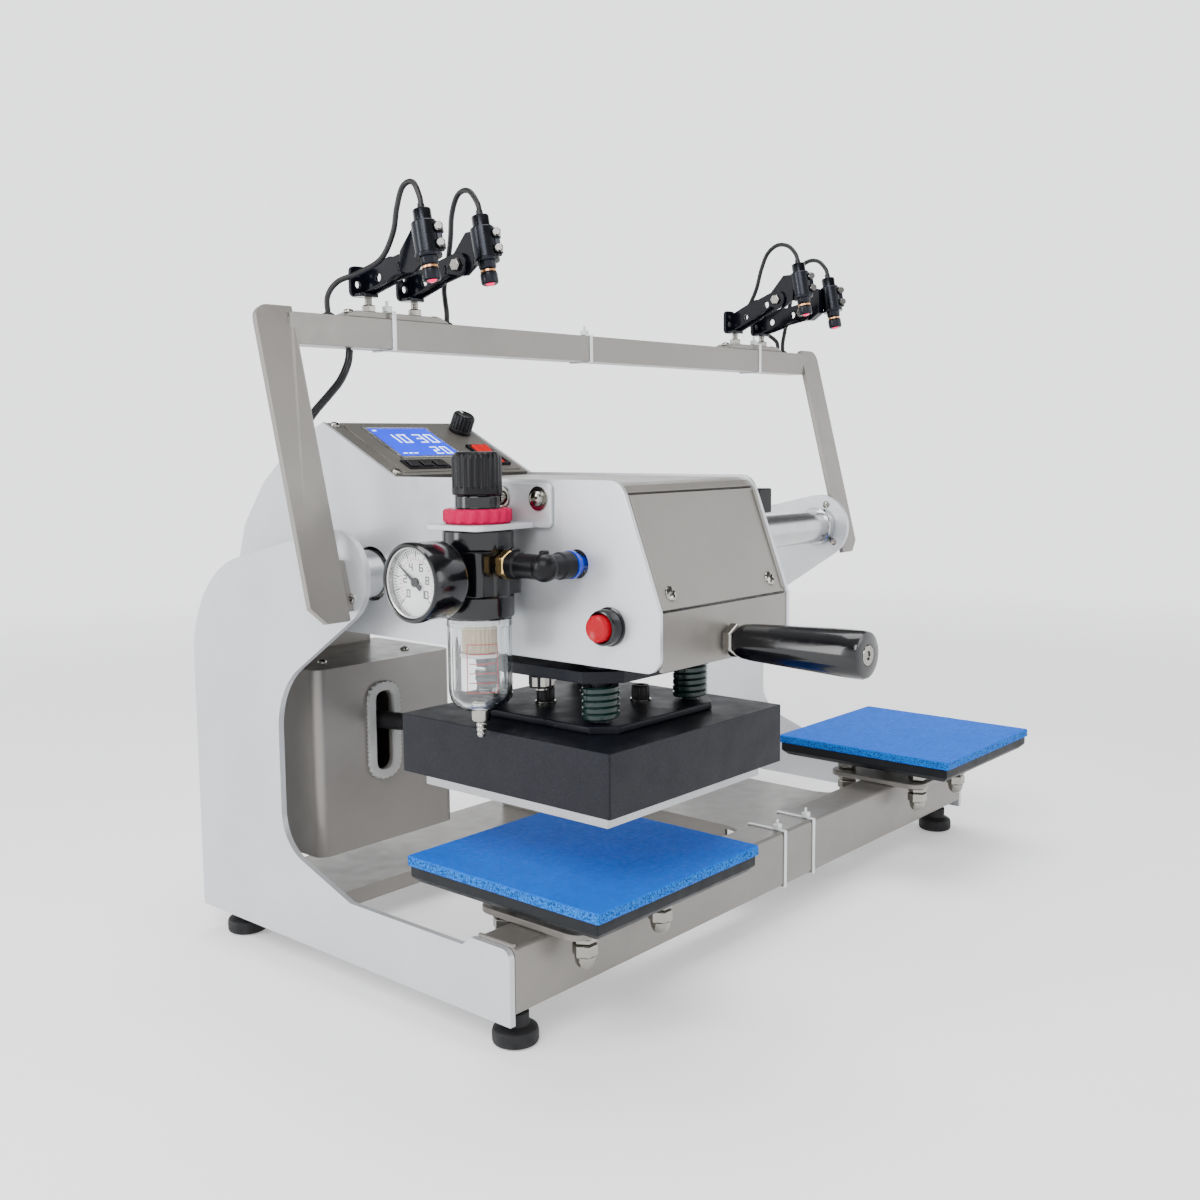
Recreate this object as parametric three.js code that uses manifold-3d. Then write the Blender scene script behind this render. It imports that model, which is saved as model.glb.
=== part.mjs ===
// Pneumatic two-station heat press. A pressing head slides along a shaft between two side plates,
// an air cylinder in the head pushes the heated plate down, and four line lasers mark the work.
// Millimetres. X runs along the slide shaft, +Y to the rear, +Z up, floor at Z = 0.

import * as THREE from 'three';
import { mergeVertices } from 'three/addons/utils/BufferGeometryUtils.js';
import Module from 'manifold-3d';

const wasm = await Module();
wasm.setup();

// ---------------------------------------------------------------- driving dimensions

const GAP = 0.3;                       // clearance between neighbouring pieces

// base frame
const PLATE_INNER = 277;               // inner face of a side plate, from the middle
const PLATE_THICK = 4;
const PLATE_OUTER = PLATE_INNER + PLATE_THICK;
const PLATE_FRONT = -143;
const PLATE_REAR = 158.5;
const PLATE_BOTTOM = 18.6;
const LEG_TOP = 57;                    // top of the side plate's low front leg
const TAB = { top: 62.8, corner: 6 };  // raised front corner that covers the beam's end
const SPAN = PLATE_INNER - GAP;        // half length of whatever is fixed between the side plates
const BEAM = { front: -143.5, rear: -113.5, bottom: 24, top: 63.5, wall: 2.5, corner: 3 };
const SPINE = { left: -3, right: 118, rear: 140, bottom: 30.6, top: 58, wall: 3, flare: 22 };
const BASE = { front: 72, rear: 158, bottom: 19, top: 30.3, wall: 3 };
const FOOT = { x: 262, front: -128, rear: 135, radius: 13.5, neck: 8 };

// shafts that carry the head
const SHAFT = { y: 0, z: 259, radius: 15, collar: 17, collarLength: 9 };
const GUIDE = { y: 112, z: 240, radius: 10 };

// work stations
const STATION_X = 201.5;
const WORK_Y = -128.4;                 // centre line of the pads and of the pressing head
const BRACKET = { halfX: 50.5, front: -168, rear: -86, bottom: 63.8, thick: 4, corner: 12 };
const STUD = { x: 34.5, front: -158.5, rear: -95, radius: 4, nut: 7.5, top: 79.7, acorn: 42.7 };
const PLATEN = { size: 146, bottom: 80, top: 90.3, chamfer: 4 };
const PAD = { size: 150, bottom: 90.6, thick: 6 };

// laser frame
const ARM = { inner: 286, outer: 313, thick: 4, bottom: 235, top: 421.4, foot: -20.5, lean: 14.4 };
const BAR = { half: 290, front: 24, rear: 44, bottom: 399, top: 418, wall: 1.5 };
const LASER_TILT = 11;                 // each laser aims forward by this much
const LASER_Y = -28;
const LASER_LENGTH = 44;
const POST_Y = 35;
const LEAF = { thick: 2.5, pivotY: -8, half: 8 };
const LEAD_DIAMETER = 3.5;
const SUPPLY_DIAMETER = 7;
const LASERS = [
  { name: 'laser_head_left_outer', x: -227, tip: 436, post: -221 },
  { name: 'laser_head_left_inner', x: -178, tip: 438, post: -182 },
  { name: 'laser_head_right_inner', x: 197, tip: 444, post: 190 },
  { name: 'laser_head_right_outer', x: 246, tip: 436, post: 232 },
];

// pressing head, in the carriage's own X with its middle at 0
const HEAD_X = -192.5;                 // where the head rests along the shaft
const HEAD = { half: 60.35, sheet: 2.5, bottom: 220.7, front: -225.8, top: 319.1, rear: 146 };
const SLOPE = { y: -22.8, z: 319.1, angle: 26.5, length: 75.5 };
const INSIDE = HEAD.half - HEAD.sheet - GAP;
const BOX = { front: 60, rear: 145, bottom: 63.8, top: 190.7, wall: 2.5, corner: 8 };
const SLOT = { left: -12.5, right: 2.5, bottom: 114.6, top: 170 };
const SLEEVE_RADIUS = 6;
const BUTTON = { y: -193, z: 243, cap: 7.2, collar: 9.5 };
const HANDLE = { z: 232, end: -310.4 };

// air unit on the left of the head
const AIR_X = -85.8;
const AIR_Y = -121.5;
const AIR_PORT = { y: -170.3, z: 274.6 };
const GAUGE = { face: -135.5, z: 267.8, radius: 21.1, dial: -129.5 };
const NEEDLE_REST = 35;                // degrees above the dial's nine o'clock

// press stack under the head
const CYLINDER = { outer: 31.5, bore: 25.3, bottom: 226, top: 303, rod: 8, piston: 24.9 };
const RAM = { halfX: 55, halfY: 56, bottom: 208.9, top: 215.4, cut: 16 };
const GUIDE_BOLT = { offset: 41, radius: 4.8, head: 8, top: 219.7 };
const MOUNT = { halfX: 54.4, halfY: 56, bottom: 181.4, top: 185.7, cut: 12 };
const SPRING = { outer: 10.5, inner: 6.5, bottom: 186, top: 208.6 };
const COVER = { half: 80, bottom: 146.4, top: 181.1, wall: 2 };
const HOT = { half: 70.5, bottom: 138.1, top: 158 };

// ---------------------------------------------------------------- finishes

const FINISH = {
  silver_paint: { color: 0xdfe3e7, roughness: 0.4, metalness: 0.3 },
  grey_paint: { color: 0xa09a92, roughness: 0.5, metalness: 0.3 },
  black_paint: { color: 0x1b1d22, roughness: 0.35, metalness: 0.2 },
  charcoal_paint: { color: 0x30343c, roughness: 0.6, metalness: 0.2 },
  chrome: { color: 0xd8d8da, roughness: 0.15, metalness: 1 },
  steel: { color: 0xb4b4b6, roughness: 0.3, metalness: 1 },
  aluminium: { color: 0xc4c6c8, roughness: 0.35, metalness: 1 },
  brass: { color: 0xc7a45a, roughness: 0.3, metalness: 1 },
  rubber: { color: 0x15161a, roughness: 0.8, metalness: 0 },
  black_plastic: { color: 0x121214, roughness: 0.25, metalness: 0 },
  red_plastic: { color: 0xc8141c, roughness: 0.3, metalness: 0 },
  white_dial: { color: 0xf0f0ec, roughness: 0.5, metalness: 0 },
  clear_plastic: { color: 0xd8dde0, roughness: 0.1, metalness: 0 },
  blue_foam: { color: 0x0f66bd, roughness: 0.8, metalness: 0 },
  green_spring: { color: 0x0d3b33, roughness: 0.35, metalness: 0.3 },
};

// ---------------------------------------------------------------- solid helpers

const radians = THREE.MathUtils.degToRad;

function signedVolume(positions, index) {
  const [a, b, c] = [new THREE.Vector3(), new THREE.Vector3(), new THREE.Vector3()];
  let sum = 0;
  for (let i = 0; i < index.length; i += 3) {
    a.fromArray(positions, index[i] * 3);
    b.fromArray(positions, index[i + 1] * 3);
    c.fromArray(positions, index[i + 2] * 3);
    sum += a.dot(b.cross(c)) / 6;
  }
  return sum;
}

// merges shared vertices, drops collapsed triangles and turns the faces outward
function toManifold(geometry) {
  const bare = geometry.clone();
  bare.deleteAttribute('normal');
  bare.deleteAttribute('uv');
  const merged = mergeVertices(bare, 1e-4);
  const positions = merged.attributes.position.array;
  const source = merged.index.array;
  const kept = [];
  for (let i = 0; i < source.length; i += 3) {
    const [a, b, c] = source.slice(i, i + 3);
    if (a !== b && b !== c && c !== a) kept.push(a, b, c);
  }
  if (signedVolume(positions, kept) < 0) kept.reverse();
  const mesh = { numProp: 3, vertProperties: new Float32Array(positions), triVerts: new Uint32Array(kept) };
  return new wasm.Manifold(new wasm.Mesh(mesh));
}

function toGeometry(manifold) {
  const mesh = manifold.getMesh();
  const geometry = new THREE.BufferGeometry();
  geometry.setAttribute('position', new THREE.BufferAttribute(new Float32Array(mesh.vertProperties), 3));
  geometry.setIndex(new THREE.BufferAttribute(new Uint32Array(mesh.triVerts), 1));
  return geometry;
}

function join(...geometries) {
  return toGeometry(geometries.map(toManifold).reduce((whole, next) => whole.add(next)));
}

function cut(geometry, ...tools) {
  return toGeometry(tools.map(toManifold).reduce((whole, tool) => whole.subtract(tool), toManifold(geometry)));
}

function common(first, second) {
  return toGeometry(toManifold(first).intersect(toManifold(second)));
}

function box(x0, x1, y0, y1, z0, z1) {
  const geometry = new THREE.BoxGeometry(x1 - x0, y1 - y0, z1 - z0);
  return geometry.translate((x0 + x1) / 2, (y0 + y1) / 2, (z0 + z1) / 2);
}

// turns a geometry built along +Y to stand along the named axis
function alongAxis(geometry, axis) {
  if (axis === 'x') geometry.rotateZ(-Math.PI / 2);
  if (axis === 'z') geometry.rotateX(Math.PI / 2);
  return geometry;
}

function rod(axis, radius, from, to, x, y, z, sides = 24) {
  const geometry = alongAxis(new THREE.CylinderGeometry(radius, radius, to - from, sides), axis);
  const middle = (from + to) / 2;
  const offset = { x: [middle, y, z], y: [x, middle, z], z: [x, y, middle] }[axis];
  return geometry.translate(...offset);
}

// a turned piece: profile of [radius, place along the axis], through the point x, y, z
function turned(axis, profile, x, y, z, sides = 24) {
  const points = profile.map(([radius, place]) => new THREE.Vector2(radius, place));
  return alongAxis(new THREE.LatheGeometry(points, sides), axis).translate(x, y, z);
}

// an outline of [a, b, corner radius] points
function outline(points) {
  const shape = new THREE.Shape();
  points.forEach(([a, b, radius = 0], i) => {
    const corner = new THREE.Vector2(a, b);
    const before = new THREE.Vector2(...points.at(i - 1)).sub(corner).normalize();
    const after = new THREE.Vector2(...points[(i + 1) % points.length]).sub(corner).normalize();
    const half = before.angleTo(after) / 2;
    const start = corner.clone().addScaledVector(before, radius / Math.tan(half));
    if (i === 0) shape.moveTo(start.x, start.y);
    else shape.lineTo(start.x, start.y);
    if (radius === 0) return;
    const end = corner.clone().addScaledVector(after, radius / Math.tan(half));
    const inward = before.clone().add(after).normalize();
    const centre = corner.clone().addScaledVector(inward, radius / Math.sin(half));
    const angles = [start, end].map((p) => Math.atan2(p.y - centre.y, p.x - centre.x));
    shape.absarc(centre.x, centre.y, radius, ...angles, before.cross(after) > 0);
  });
  return shape;
}

// extrudes an outline: 'side' reads it as (Y, Z), 'front' as (X, Z) and 'top' as (X, Y)
function extrude(plane, shape, from, to, curveSegments = 3) {
  const geometry = new THREE.ExtrudeGeometry(shape, { depth: to - from, bevelEnabled: false, curveSegments });
  const [X, Y, Z] = [[1, 0, 0], [0, 1, 0], [0, 0, 1]].map((axis) => new THREE.Vector3(...axis));
  if (plane === 'top') return geometry.translate(0, 0, from);
  if (plane === 'side') {
    return geometry.applyMatrix4(new THREE.Matrix4().makeBasis(Y, Z, X)).translate(from, 0, 0);
  }
  return geometry.applyMatrix4(new THREE.Matrix4().makeBasis(X, Z, Y.negate())).translate(0, to, 0);
}

// a flat sheet's side profile: it lies under the line from a to b, sunk by depth
function sheetProfile([ay, az], [by, bz], depth, thickness) {
  const along = new THREE.Vector2(by - ay, bz - az).normalize();
  const inward = new THREE.Vector2(along.y, -along.x);
  const corner = (y, z, sink) => [y + inward.x * sink, z + inward.y * sink];
  const bottom = depth + thickness;
  return outline([corner(ay, az, depth), corner(by, bz, depth), corner(by, bz, bottom), corner(ay, az, bottom)]);
}

// a round cord along a list of [x, y, z] points
function cord(points, diameter, step) {
  const curve = new THREE.CatmullRomCurve3(points.map((p) => new THREE.Vector3(...p)), false, 'centripetal');
  const section = new THREE.Shape();
  const sides = 8;
  for (let i = 0; i < sides; i += 1) {
    const angle = (i / sides) * 2 * Math.PI;
    const place = [Math.cos(angle) * diameter / 2, Math.sin(angle) * diameter / 2];
    if (i === 0) section.moveTo(...place);
    else section.lineTo(...place);
  }
  const steps = Math.round(curve.getLength() / step);
  return new THREE.ExtrudeGeometry(section, { steps, extrudePath: curve, bevelEnabled: false });
}

function addPiece(group, name, geometry, finish) {
  const solid = toGeometry(toManifold(geometry));
  solid.computeVertexNormals();
  const mesh = new THREE.Mesh(solid, new THREE.MeshStandardMaterial(FINISH[finish]));
  mesh.name = name;
  group.add(mesh);
  return mesh;
}

// ---------------------------------------------------------------- base frame

function sidePlateShape() {
  const shape = new THREE.Shape();
  shape.moveTo(PLATE_FRONT, PLATE_BOTTOM);
  shape.lineTo(PLATE_REAR, PLATE_BOTTOM);
  shape.lineTo(PLATE_REAR, 194);
  shape.absarc(84.5, 194, 74, 0, radians(78), false);
  shape.absarc(SHAFT.y, SHAFT.z, 29, radians(78), radians(237), false);
  shape.absarc(13, 156.3, 50, radians(57), 0, true);
  shape.absarc(33, 102.3, 30, 0, radians(-71), true);
  shape.lineTo(-5.5, LEG_TOP);
  shape.lineTo(BEAM.rear + 8, LEG_TOP);
  shape.lineTo(BEAM.rear + 1, TAB.top);
  shape.absarc(PLATE_FRONT + TAB.corner, TAB.top - TAB.corner, TAB.corner, radians(90), radians(180), false);
  return shape;
}

function sidePlate(side) {
  const edges = [side * PLATE_INNER, side * PLATE_OUTER].sort((a, b) => a - b);
  return extrude('side', sidePlateShape(), ...edges, 6);
}

function frontBeam() {
  const { front, rear, bottom, top, wall, corner } = BEAM;
  const ring = [[front, bottom, corner], [rear, bottom, corner], [rear, top, corner], [front, top, corner]];
  const tube = extrude('side', outline(ring), -SPAN, SPAN);
  return cut(tube, box(-SPAN - 1, SPAN + 1, front + wall, rear - wall, bottom + wall, top - wall));
}

// inverted channel that flares where it meets the front beam
function spine() {
  const { left, right, rear, bottom, top, wall, flare } = SPINE;
  const front = BEAM.rear + GAP;
  const plan = new THREE.Shape();
  plan.moveTo(left - flare, front);
  plan.lineTo(right + flare, front);
  plan.absarc(right + flare, front + flare, flare, radians(-90), radians(-180), true);
  plan.lineTo(right, rear);
  plan.lineTo(left, rear);
  plan.absarc(left - flare, front + flare, flare, 0, radians(-90), true);
  const web = extrude('top', plan, top - wall, top, 4);
  const leftFlange = box(left, left + wall, front + flare, rear, bottom, top - 1);
  const rightFlange = box(right - wall, right, front + flare, rear, bottom, top - 1);
  return join(web, leftFlange, rightFlange);
}

function rearBasePlate() {
  const { front, rear, bottom, top, wall } = BASE;
  const section = [
    [front, bottom], [front + wall, bottom], [front + wall, top - wall], [rear - wall, top - wall],
    [rear - wall, bottom], [rear, bottom], [rear, top], [front, top],
  ];
  return extrude('side', outline(section), -SPAN, SPAN);
}

function foot(x, y, top) {
  const { radius, neck } = FOOT;
  const profile = [
    [0, 0], [radius - 1.5, 0], [radius, 1.5], [radius, 8], [radius - 2.5, 11], [neck, 12], [neck, top], [0, top],
  ];
  return turned('z', profile, x, y, 0, 20);
}

function slideShaft() {
  const { y, z, radius, collar, collarLength } = SHAFT;
  const bar = rod('x', radius, -SPAN, SPAN, 0, y, z);
  const left = rod('x', collar, -SPAN, -SPAN + collarLength, 0, y, z);
  const right = rod('x', collar, SPAN - collarLength, SPAN, 0, y, z);
  return join(bar, left, right);
}

// ---------------------------------------------------------------- work stations

// washer, nuts and acorn cap under the bracket, nut and stud above it
function studStack(x, y) {
  const under = BRACKET.bottom;
  const top = BRACKET.bottom + BRACKET.thick;
  const washer = rod('z', 8, under - 1.5, under + 0.5, x, y, 0, 12);
  const lowNut = rod('z', STUD.nut, 52, under - 1, x, y, 0, 6);
  const dome = [[0, STUD.acorn], [4, STUD.acorn + 1.4], [6.3, 47.5], [6.3, 53], [0, 53]];
  const cap = turned('z', dome, x, y, 0, 10);
  const highNut = rod('z', STUD.nut, top - 0.5, 74.5, x, y, 0, 6);
  const stud = rod('z', STUD.radius, top, STUD.top, x, y, 0, 8);
  return join(washer, lowNut, cap, highNut, stud);
}

function platenBracket(centre) {
  const { halfX, front, rear, bottom, thick, corner } = BRACKET;
  const left = centre - halfX;
  const right = centre + halfX;
  const plan = [[left, front, corner], [right, front, corner], [right, rear, corner], [left, rear, corner]];
  const plate = extrude('top', outline(plan), bottom, bottom + thick);
  const studs = [STUD.front, STUD.rear].flatMap((y) => [-1, 1].map((s) => studStack(centre + s * STUD.x, y)));
  return join(plate, ...studs);
}

function platen(centre) {
  const { size, bottom, top, chamfer } = PLATEN;
  const half = size / 2;
  const section = (middle) => outline([
    [middle - half + chamfer, bottom], [middle + half - chamfer, bottom], [middle + half, bottom + chamfer],
    [middle + half, top], [middle - half, top], [middle - half, bottom + chamfer],
  ]);
  const alongY = extrude('front', section(centre), WORK_Y - half, WORK_Y + half);
  const alongX = extrude('side', section(WORK_Y), centre - half, centre + half);
  return common(alongY, alongX);
}

function pad(centre) {
  const half = PAD.size / 2;
  return box(centre - half, centre + half, WORK_Y - half, WORK_Y + half, PAD.bottom, PAD.bottom + PAD.thick);
}

// ---------------------------------------------------------------- laser frame

function frameArm(side) {
  const length = (ARM.top - ARM.bottom) / Math.cos(radians(ARM.lean));
  const { inner, outer } = ARM;
  const face = [
    [side * inner, 0], [side * (outer - 10), 0], [side * outer, 10], [side * outer, length, 9], [side * inner, length],
  ];
  const strip = extrude('front', outline(face), 0, ARM.thick);
  const leaning = strip.rotateX(radians(-ARM.lean)).translate(0, ARM.foot, ARM.bottom);
  const edges = [side * (PLATE_OUTER + GAP), side * (inner + 1.5)].sort((a, b) => a - b);
  const ear = extrude('side', outline([[-17.5, 240], [-9.5, 270], [10, 270], [10, 240]]), ...edges);
  return join(leaning, ear);
}

function laserFrame() {
  const { half, front, rear, bottom, top, wall } = BAR;
  const tube = box(-half, half, front, rear, bottom, top);
  const bore = box(-half - 1, half + 1, front + wall, rear - wall, bottom + wall, top - wall);
  return join(frameArm(-1), frameArm(1), cut(tube, bore));
}

const pivotZ = (laser) => laser.tip + 14;

// threaded post with its nut, and the slotted leaf that carries the laser's pivot
function laserPost(laser) {
  const { post } = laser;
  const top = BAR.top + GAP + 3;
  const low = pivotZ(laser) - LEAF.half;
  const high = pivotZ(laser) + LEAF.half;
  const stem = rod('z', 2.5, top, 434, post, POST_Y, 0, 12);
  const nut = rod('z', 4.6, top - 0.5, top + 5.5, post, POST_Y, 0, 6);
  const reach = [[38.5, 432, 3], [38.5, 450, 3], [LEAF.pivotY - 7.5, high, 6], [LEAF.pivotY - 7.5, low, 6]];
  const leaf = extrude('side', outline(reach), post - LEAF.thick / 2, post + LEAF.thick / 2);
  const wing = box(post - 13, post + 1, 36, 38.5, 433, 450);
  const hole = rod('x', 2.7, post - 3, post + 3, 0, LEAF.pivotY, pivotZ(laser), 12);
  return join(stem, nut, cut(leaf, hole), wing);
}

function laserBase(lasers) {
  const middle = (lasers[0].post + lasers[1].post) / 2;
  const bottom = BAR.top + GAP;
  const strip = [[middle - 43, bottom], [middle + 43, bottom], [middle + 35, bottom + 4], [middle - 35, bottom + 4]];
  const plate = extrude('front', outline(strip), BAR.front + 3, BAR.rear - 2);
  return join(plate, ...lasers.map(laserPost));
}

// barrel and clamp sleeve, with a fin and bolt on the pivot
function laserHead(laser) {
  const profile = [
    [0, 0], [5.5, 0], [5.5, 7], [4.8, 8], [4.8, 10], [5.6, 11], [5.6, 13.5], [7.7, 14.5], [7.7, 36], [5.6, 36.3],
    [5.6, LASER_LENGTH], [0, LASER_LENGTH],
  ];
  const middle = LASER_LENGTH / 2 + 3;
  const barrel = turned('z', profile.map(([r, h]) => [r, h - middle]), 0, 0, 0, 12);
  barrel.rotateX(radians(-LASER_TILT)).translate(laser.x, LASER_Y, laser.tip + middle - 0.5);
  const side = Math.sign(laser.x - laser.post);
  const near = laser.post + side * (LEAF.thick / 2 + GAP);
  const reach = Math.max(LEAF.thick, Math.abs(laser.x - near) - 4);
  const far = near + side * reach;
  const z = pivotZ(laser);
  const finShape = outline([[-1, z - 7, 6], [-1, z + 7, 3], [-16, z + 20, 2], [-24, z + 20], [-24, z - 2], [-15, z - 7, 3]]);
  const fin = extrude('side', finShape, Math.min(near, far), Math.max(near, far));
  const nutEnd = laser.post - side * (LEAF.thick / 2 + GAP);
  const boltEnds = [nutEnd - side * 2.5, near + side].sort((a, b) => a - b);
  const bolt = rod('x', 2.4, ...boltEnds, 0, LEAF.pivotY, z, 12);
  const nut = rod('x', 4.4, ...[nutEnd, nutEnd - side * 2.5].sort((a, b) => a - b), 0, LEAF.pivotY, z, 6);
  return join(barrel, fin, bolt, nut);
}

// each lead loops up out of its laser and down into the top of the cross bar
function leadRoutes() {
  const entry = BAR.top + GAP;
  return {
    laser_lead_left_outer: [
      [-227, -24.3, 479.5], [-227, -22.9, 487], [-227.5, -17.5, 496], [-229, -10, 494], [-230.5, -6, 482],
      [-231.5, -3, 467], [-234, 6, 452], [-241, 20, 444], [-249, 30, 439], [-254, 34, 430], [-254, 34, entry],
    ],
    laser_lead_left_inner: [
      [-178, -24.3, 481.5], [-178, -22.5, 489], [-177.5, -14, 498], [-176.5, -3, 497], [-175.5, 4, 486],
      [-174.5, 7, 470], [-172, 13, 454], [-166, 23, 442], [-158, 31, 434], [-155, 33, 427], [-155, 33, entry],
    ],
    laser_lead_right_inner: [
      [197, -24.3, 487.5], [197, -22.3, 495], [198, -14, 503], [199.5, -2, 505], [201, 9, 499],
      [202, 16, 486], [203.5, 22, 470], [207, 32, 456], [215, 42, 448], [228, 45.5, 443], [243, 42.5, 438],
      [255, 36, 430], [257, 34, 425], [257, 34, entry],
    ],
    laser_lead_right_outer: [
      [246, -24.3, 479.5], [246, -22.5, 487], [247, -14, 495], [248, -3, 496], [249, 7, 490],
      [251.5, 14, 477], [255.5, 20, 461], [259.5, 26, 446], [263, 31, 434], [264, 33, 427], [264, 33, entry],
    ],
  };
}

const SUPPLY_ROUTE = [
  [-238, 34, BAR.bottom - 2 * GAP], [-239.5, 34, 390], [-246, 33.5, 379], [-257, 32, 369], [-270, 29, 359],
  [-282, 25, 348], [-290, 19.5, 335], [-293.5, 14.5, 321], [-294.5, 11, 308], [-294, 9.5, 297],
  [-291.5, 8.5, 287.5], [-287.5, 8, 282], [-284, 7.8, 280.2], [-PLATE_OUTER - 1.2, 7.8, 280],
];

// ---------------------------------------------------------------- pressing head

function headOutline() {
  const { front, bottom, top, rear } = HEAD;
  const rise = SLOPE.length * Math.sin(radians(SLOPE.angle));
  const run = SLOPE.length * Math.cos(radians(SLOPE.angle));
  const crest = [SLOPE.y + run, SLOPE.z + rise];
  const shape = new THREE.Shape();
  shape.absarc(front + 9, bottom + 9, 9, radians(270), radians(180), true);
  shape.lineTo(front, 252.4);
  shape.lineTo(-203.5, 311.5);
  shape.quadraticCurveTo(-200.5, top, -193, top);
  shape.lineTo(SLOPE.y, SLOPE.z);
  shape.lineTo(...crest);
  shape.bezierCurveTo(90, 337, rear - 6, 300, rear, 250);
  shape.lineTo(rear, bottom);
  return shape;
}

function sidePanel(side, holes) {
  const edges = [side * HEAD.half, side * (HEAD.half - HEAD.sheet)].sort((a, b) => a - b);
  const sheet = extrude('side', headOutline(), ...edges, 4);
  const tools = holes.map(([y, z, radius]) => rod('x', radius, edges[0] - 1, edges[1] + 1, 0, y, z, 20));
  return cut(sheet, ...tools);
}

function insideSheet(from, to, depth) {
  return extrude('side', sheetProfile(from, to, depth, HEAD.sheet), -INSIDE, INSIDE);
}

// top cover: flat, with a lip bent down to the front cover
function topCover() {
  const upper = HEAD.top - 1.5;
  const lower = upper - HEAD.sheet;
  const section = [
    [-25, lower], [-25, upper], [-192.5, upper], [-197.6, 316.2], [-201.4, 312.9], [-199.4, 311.4],
    [-196.2, 314], [-192.2, lower],
  ];
  return extrude('side', outline(section), -INSIDE, INSIDE);
}

// rear cover: the panels' rounded back, one sheet thick
function rearCover() {
  const { bottom, rear, sheet } = HEAD;
  const inset = 0.8;
  const shape = new THREE.Shape();
  shape.moveTo(48, 350.2);
  shape.bezierCurveTo(91, 335, rear - 7, 298.5, rear - inset, 250);
  shape.lineTo(rear - inset, bottom + inset);
  shape.lineTo(rear - inset - sheet, bottom + inset);
  shape.lineTo(rear - inset - sheet, 250);
  shape.bezierCurveTo(rear - 9.5, 296.5, 89, 332.5, 47, 347.8);
  return extrude('side', shape, -INSIDE, INSIDE, 8);
}

// the panel in its own frame: X across, Y up the slope, Z out of it
function controlFace() {
  const slab = box(-INSIDE, INSIDE, 1.2, SLOPE.length - 1, -3, 0);
  const plate = extrude('top', outline([[-48.5, 4, 2], [54, 4, 2], [54, 71, 2], [-48.5, 71, 2]]), -1, 1, 2);
  const bezel = box(29.9, 47.5, 9, 36, 0, 2.2);
  const window = box(31.3, 46.1, 10.2, 34.8, -5, 3);
  const knobHole = rod('z', 3.4, -5, 5, 43.9, 59, 0, 12);
  return cut(join(slab, plate, bezel), window, knobHole);
}

function encoderKnob() {
  const profile = [[0, -8], [3, -8], [3, 1.4], [8, 1.4], [8, 12.8], [7.2, 14.4], [0, 14.4]];
  return turned('z', profile, 0, 0, 0, 20);
}

// rocker about its own pin, standing with its rear end up
function rocker() {
  const section = outline([[-11.2, -1], [-11.2, 3.6], [0, 2.6], [11.2, 3.6], [11.2, -1], [0, -4]]);
  return extrude('side', section, -7, 7).rotateX(radians(6));
}

// bearing block on the slide shaft, with an arm back to the guide shaft
function bearingBlock() {
  const section = outline([
    [-24, 236, 3], [24, 236, 3], [26, 228, 2], [95, 228], [95, 225, 2], [129, 225, 2], [129, 255, 3], [95, 255, 3],
    [95, 236], [60, 236], [24, 283, 3], [-24, 283, 3],
  ]);
  const block = extrude('side', section, -45, 45, 2);
  const shaftBore = rod('x', SHAFT.radius + GAP, -46, 46, 0, SHAFT.y, SHAFT.z);
  const guideBore = rod('x', GUIDE.radius + GAP, -46, 46, 0, GUIDE.y, GUIDE.z, 20);
  return cut(block, shaftBore, guideBore);
}

function airCylinder() {
  const { outer, bore, bottom, top, rod: rodRadius } = CYLINDER;
  const bridge = box(-INSIDE, INSIDE, WORK_Y - 30, WORK_Y + 30, bottom - 5, bottom + 1);
  const barrel = rod('z', outer, bottom, top, 0, WORK_Y, 0);
  const chamber = rod('z', bore, bottom + 6, top - 8, 0, WORK_Y, 0);
  const gland = rod('z', rodRadius + GAP, bottom - 6, bottom + 7, 0, WORK_Y, 0, 16);
  const port = rod('z', 4, top - 9, top + 1, 0, WORK_Y + 14, 0, 10);
  return cut(join(bridge, barrel), chamber, gland, port);
}

// hollow box behind the heater, hung from the head by a riser at its back
function rearBox() {
  const { front, rear, bottom, top, wall, corner } = BOX;
  const half = HEAD.half;
  const plan = outline([[-half, front, corner], [half, front, corner], [half, rear, 2], [-half, rear, 2]]);
  const shell = extrude('top', plan, bottom, top, 4);
  const inside = box(-half + wall, half - wall, front + wall, rear - wall, bottom + wall, top - wall);
  const slotEnd = (SLOT.right - SLOT.left) / 2 - 0.1;
  const ends = [SLOT.bottom, SLOT.top].flatMap((z) => [SLOT.left, SLOT.right].map((x) => [x, z, slotEnd]));
  const slot = extrude('front', outline([ends[0], ends[1], ends[3], ends[2]]), front - 5, front + 8, 4);
  const riser = box(-50, 50, rear - 6.2, rear - 2.7, top - 2, 240);
  return join(cut(shell, inside, slot), riser);
}

const SLEEVE_ROUTE = [
  [-5, 74, 149], [-5, 56, 149.5], [-5.2, 38, 151], [-5.8, 18, 154], [-6.6, -2, 157.8],
  [-7.2, -22, 161], [-7.5, -36, 162.4], [-7.5, WORK_Y + COVER.half + GAP, 163],
];

// ---------------------------------------------------------------- air unit

function regulatorBody() {
  const profile = [
    [0, 245], [18.2, 245], [19.25, 246], [19.25, 292], [18.5, 292.7], [14, 292.7], [14, 296.3], [18.25, 296.3],
    [18.25, 304], [12.25, 304], [12.25, 311], [0, 311],
  ];
  return turned('z', profile, AIR_X, AIR_Y, 0, 20);
}

function regulatorKnob() {
  const profile = [[0, 311.3], [13.85, 311.3], [13.85, 331], [12.6, 334.4], [0, 334.4]];
  return turned('z', profile, AIR_X, AIR_Y, 0, 24);
}

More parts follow.
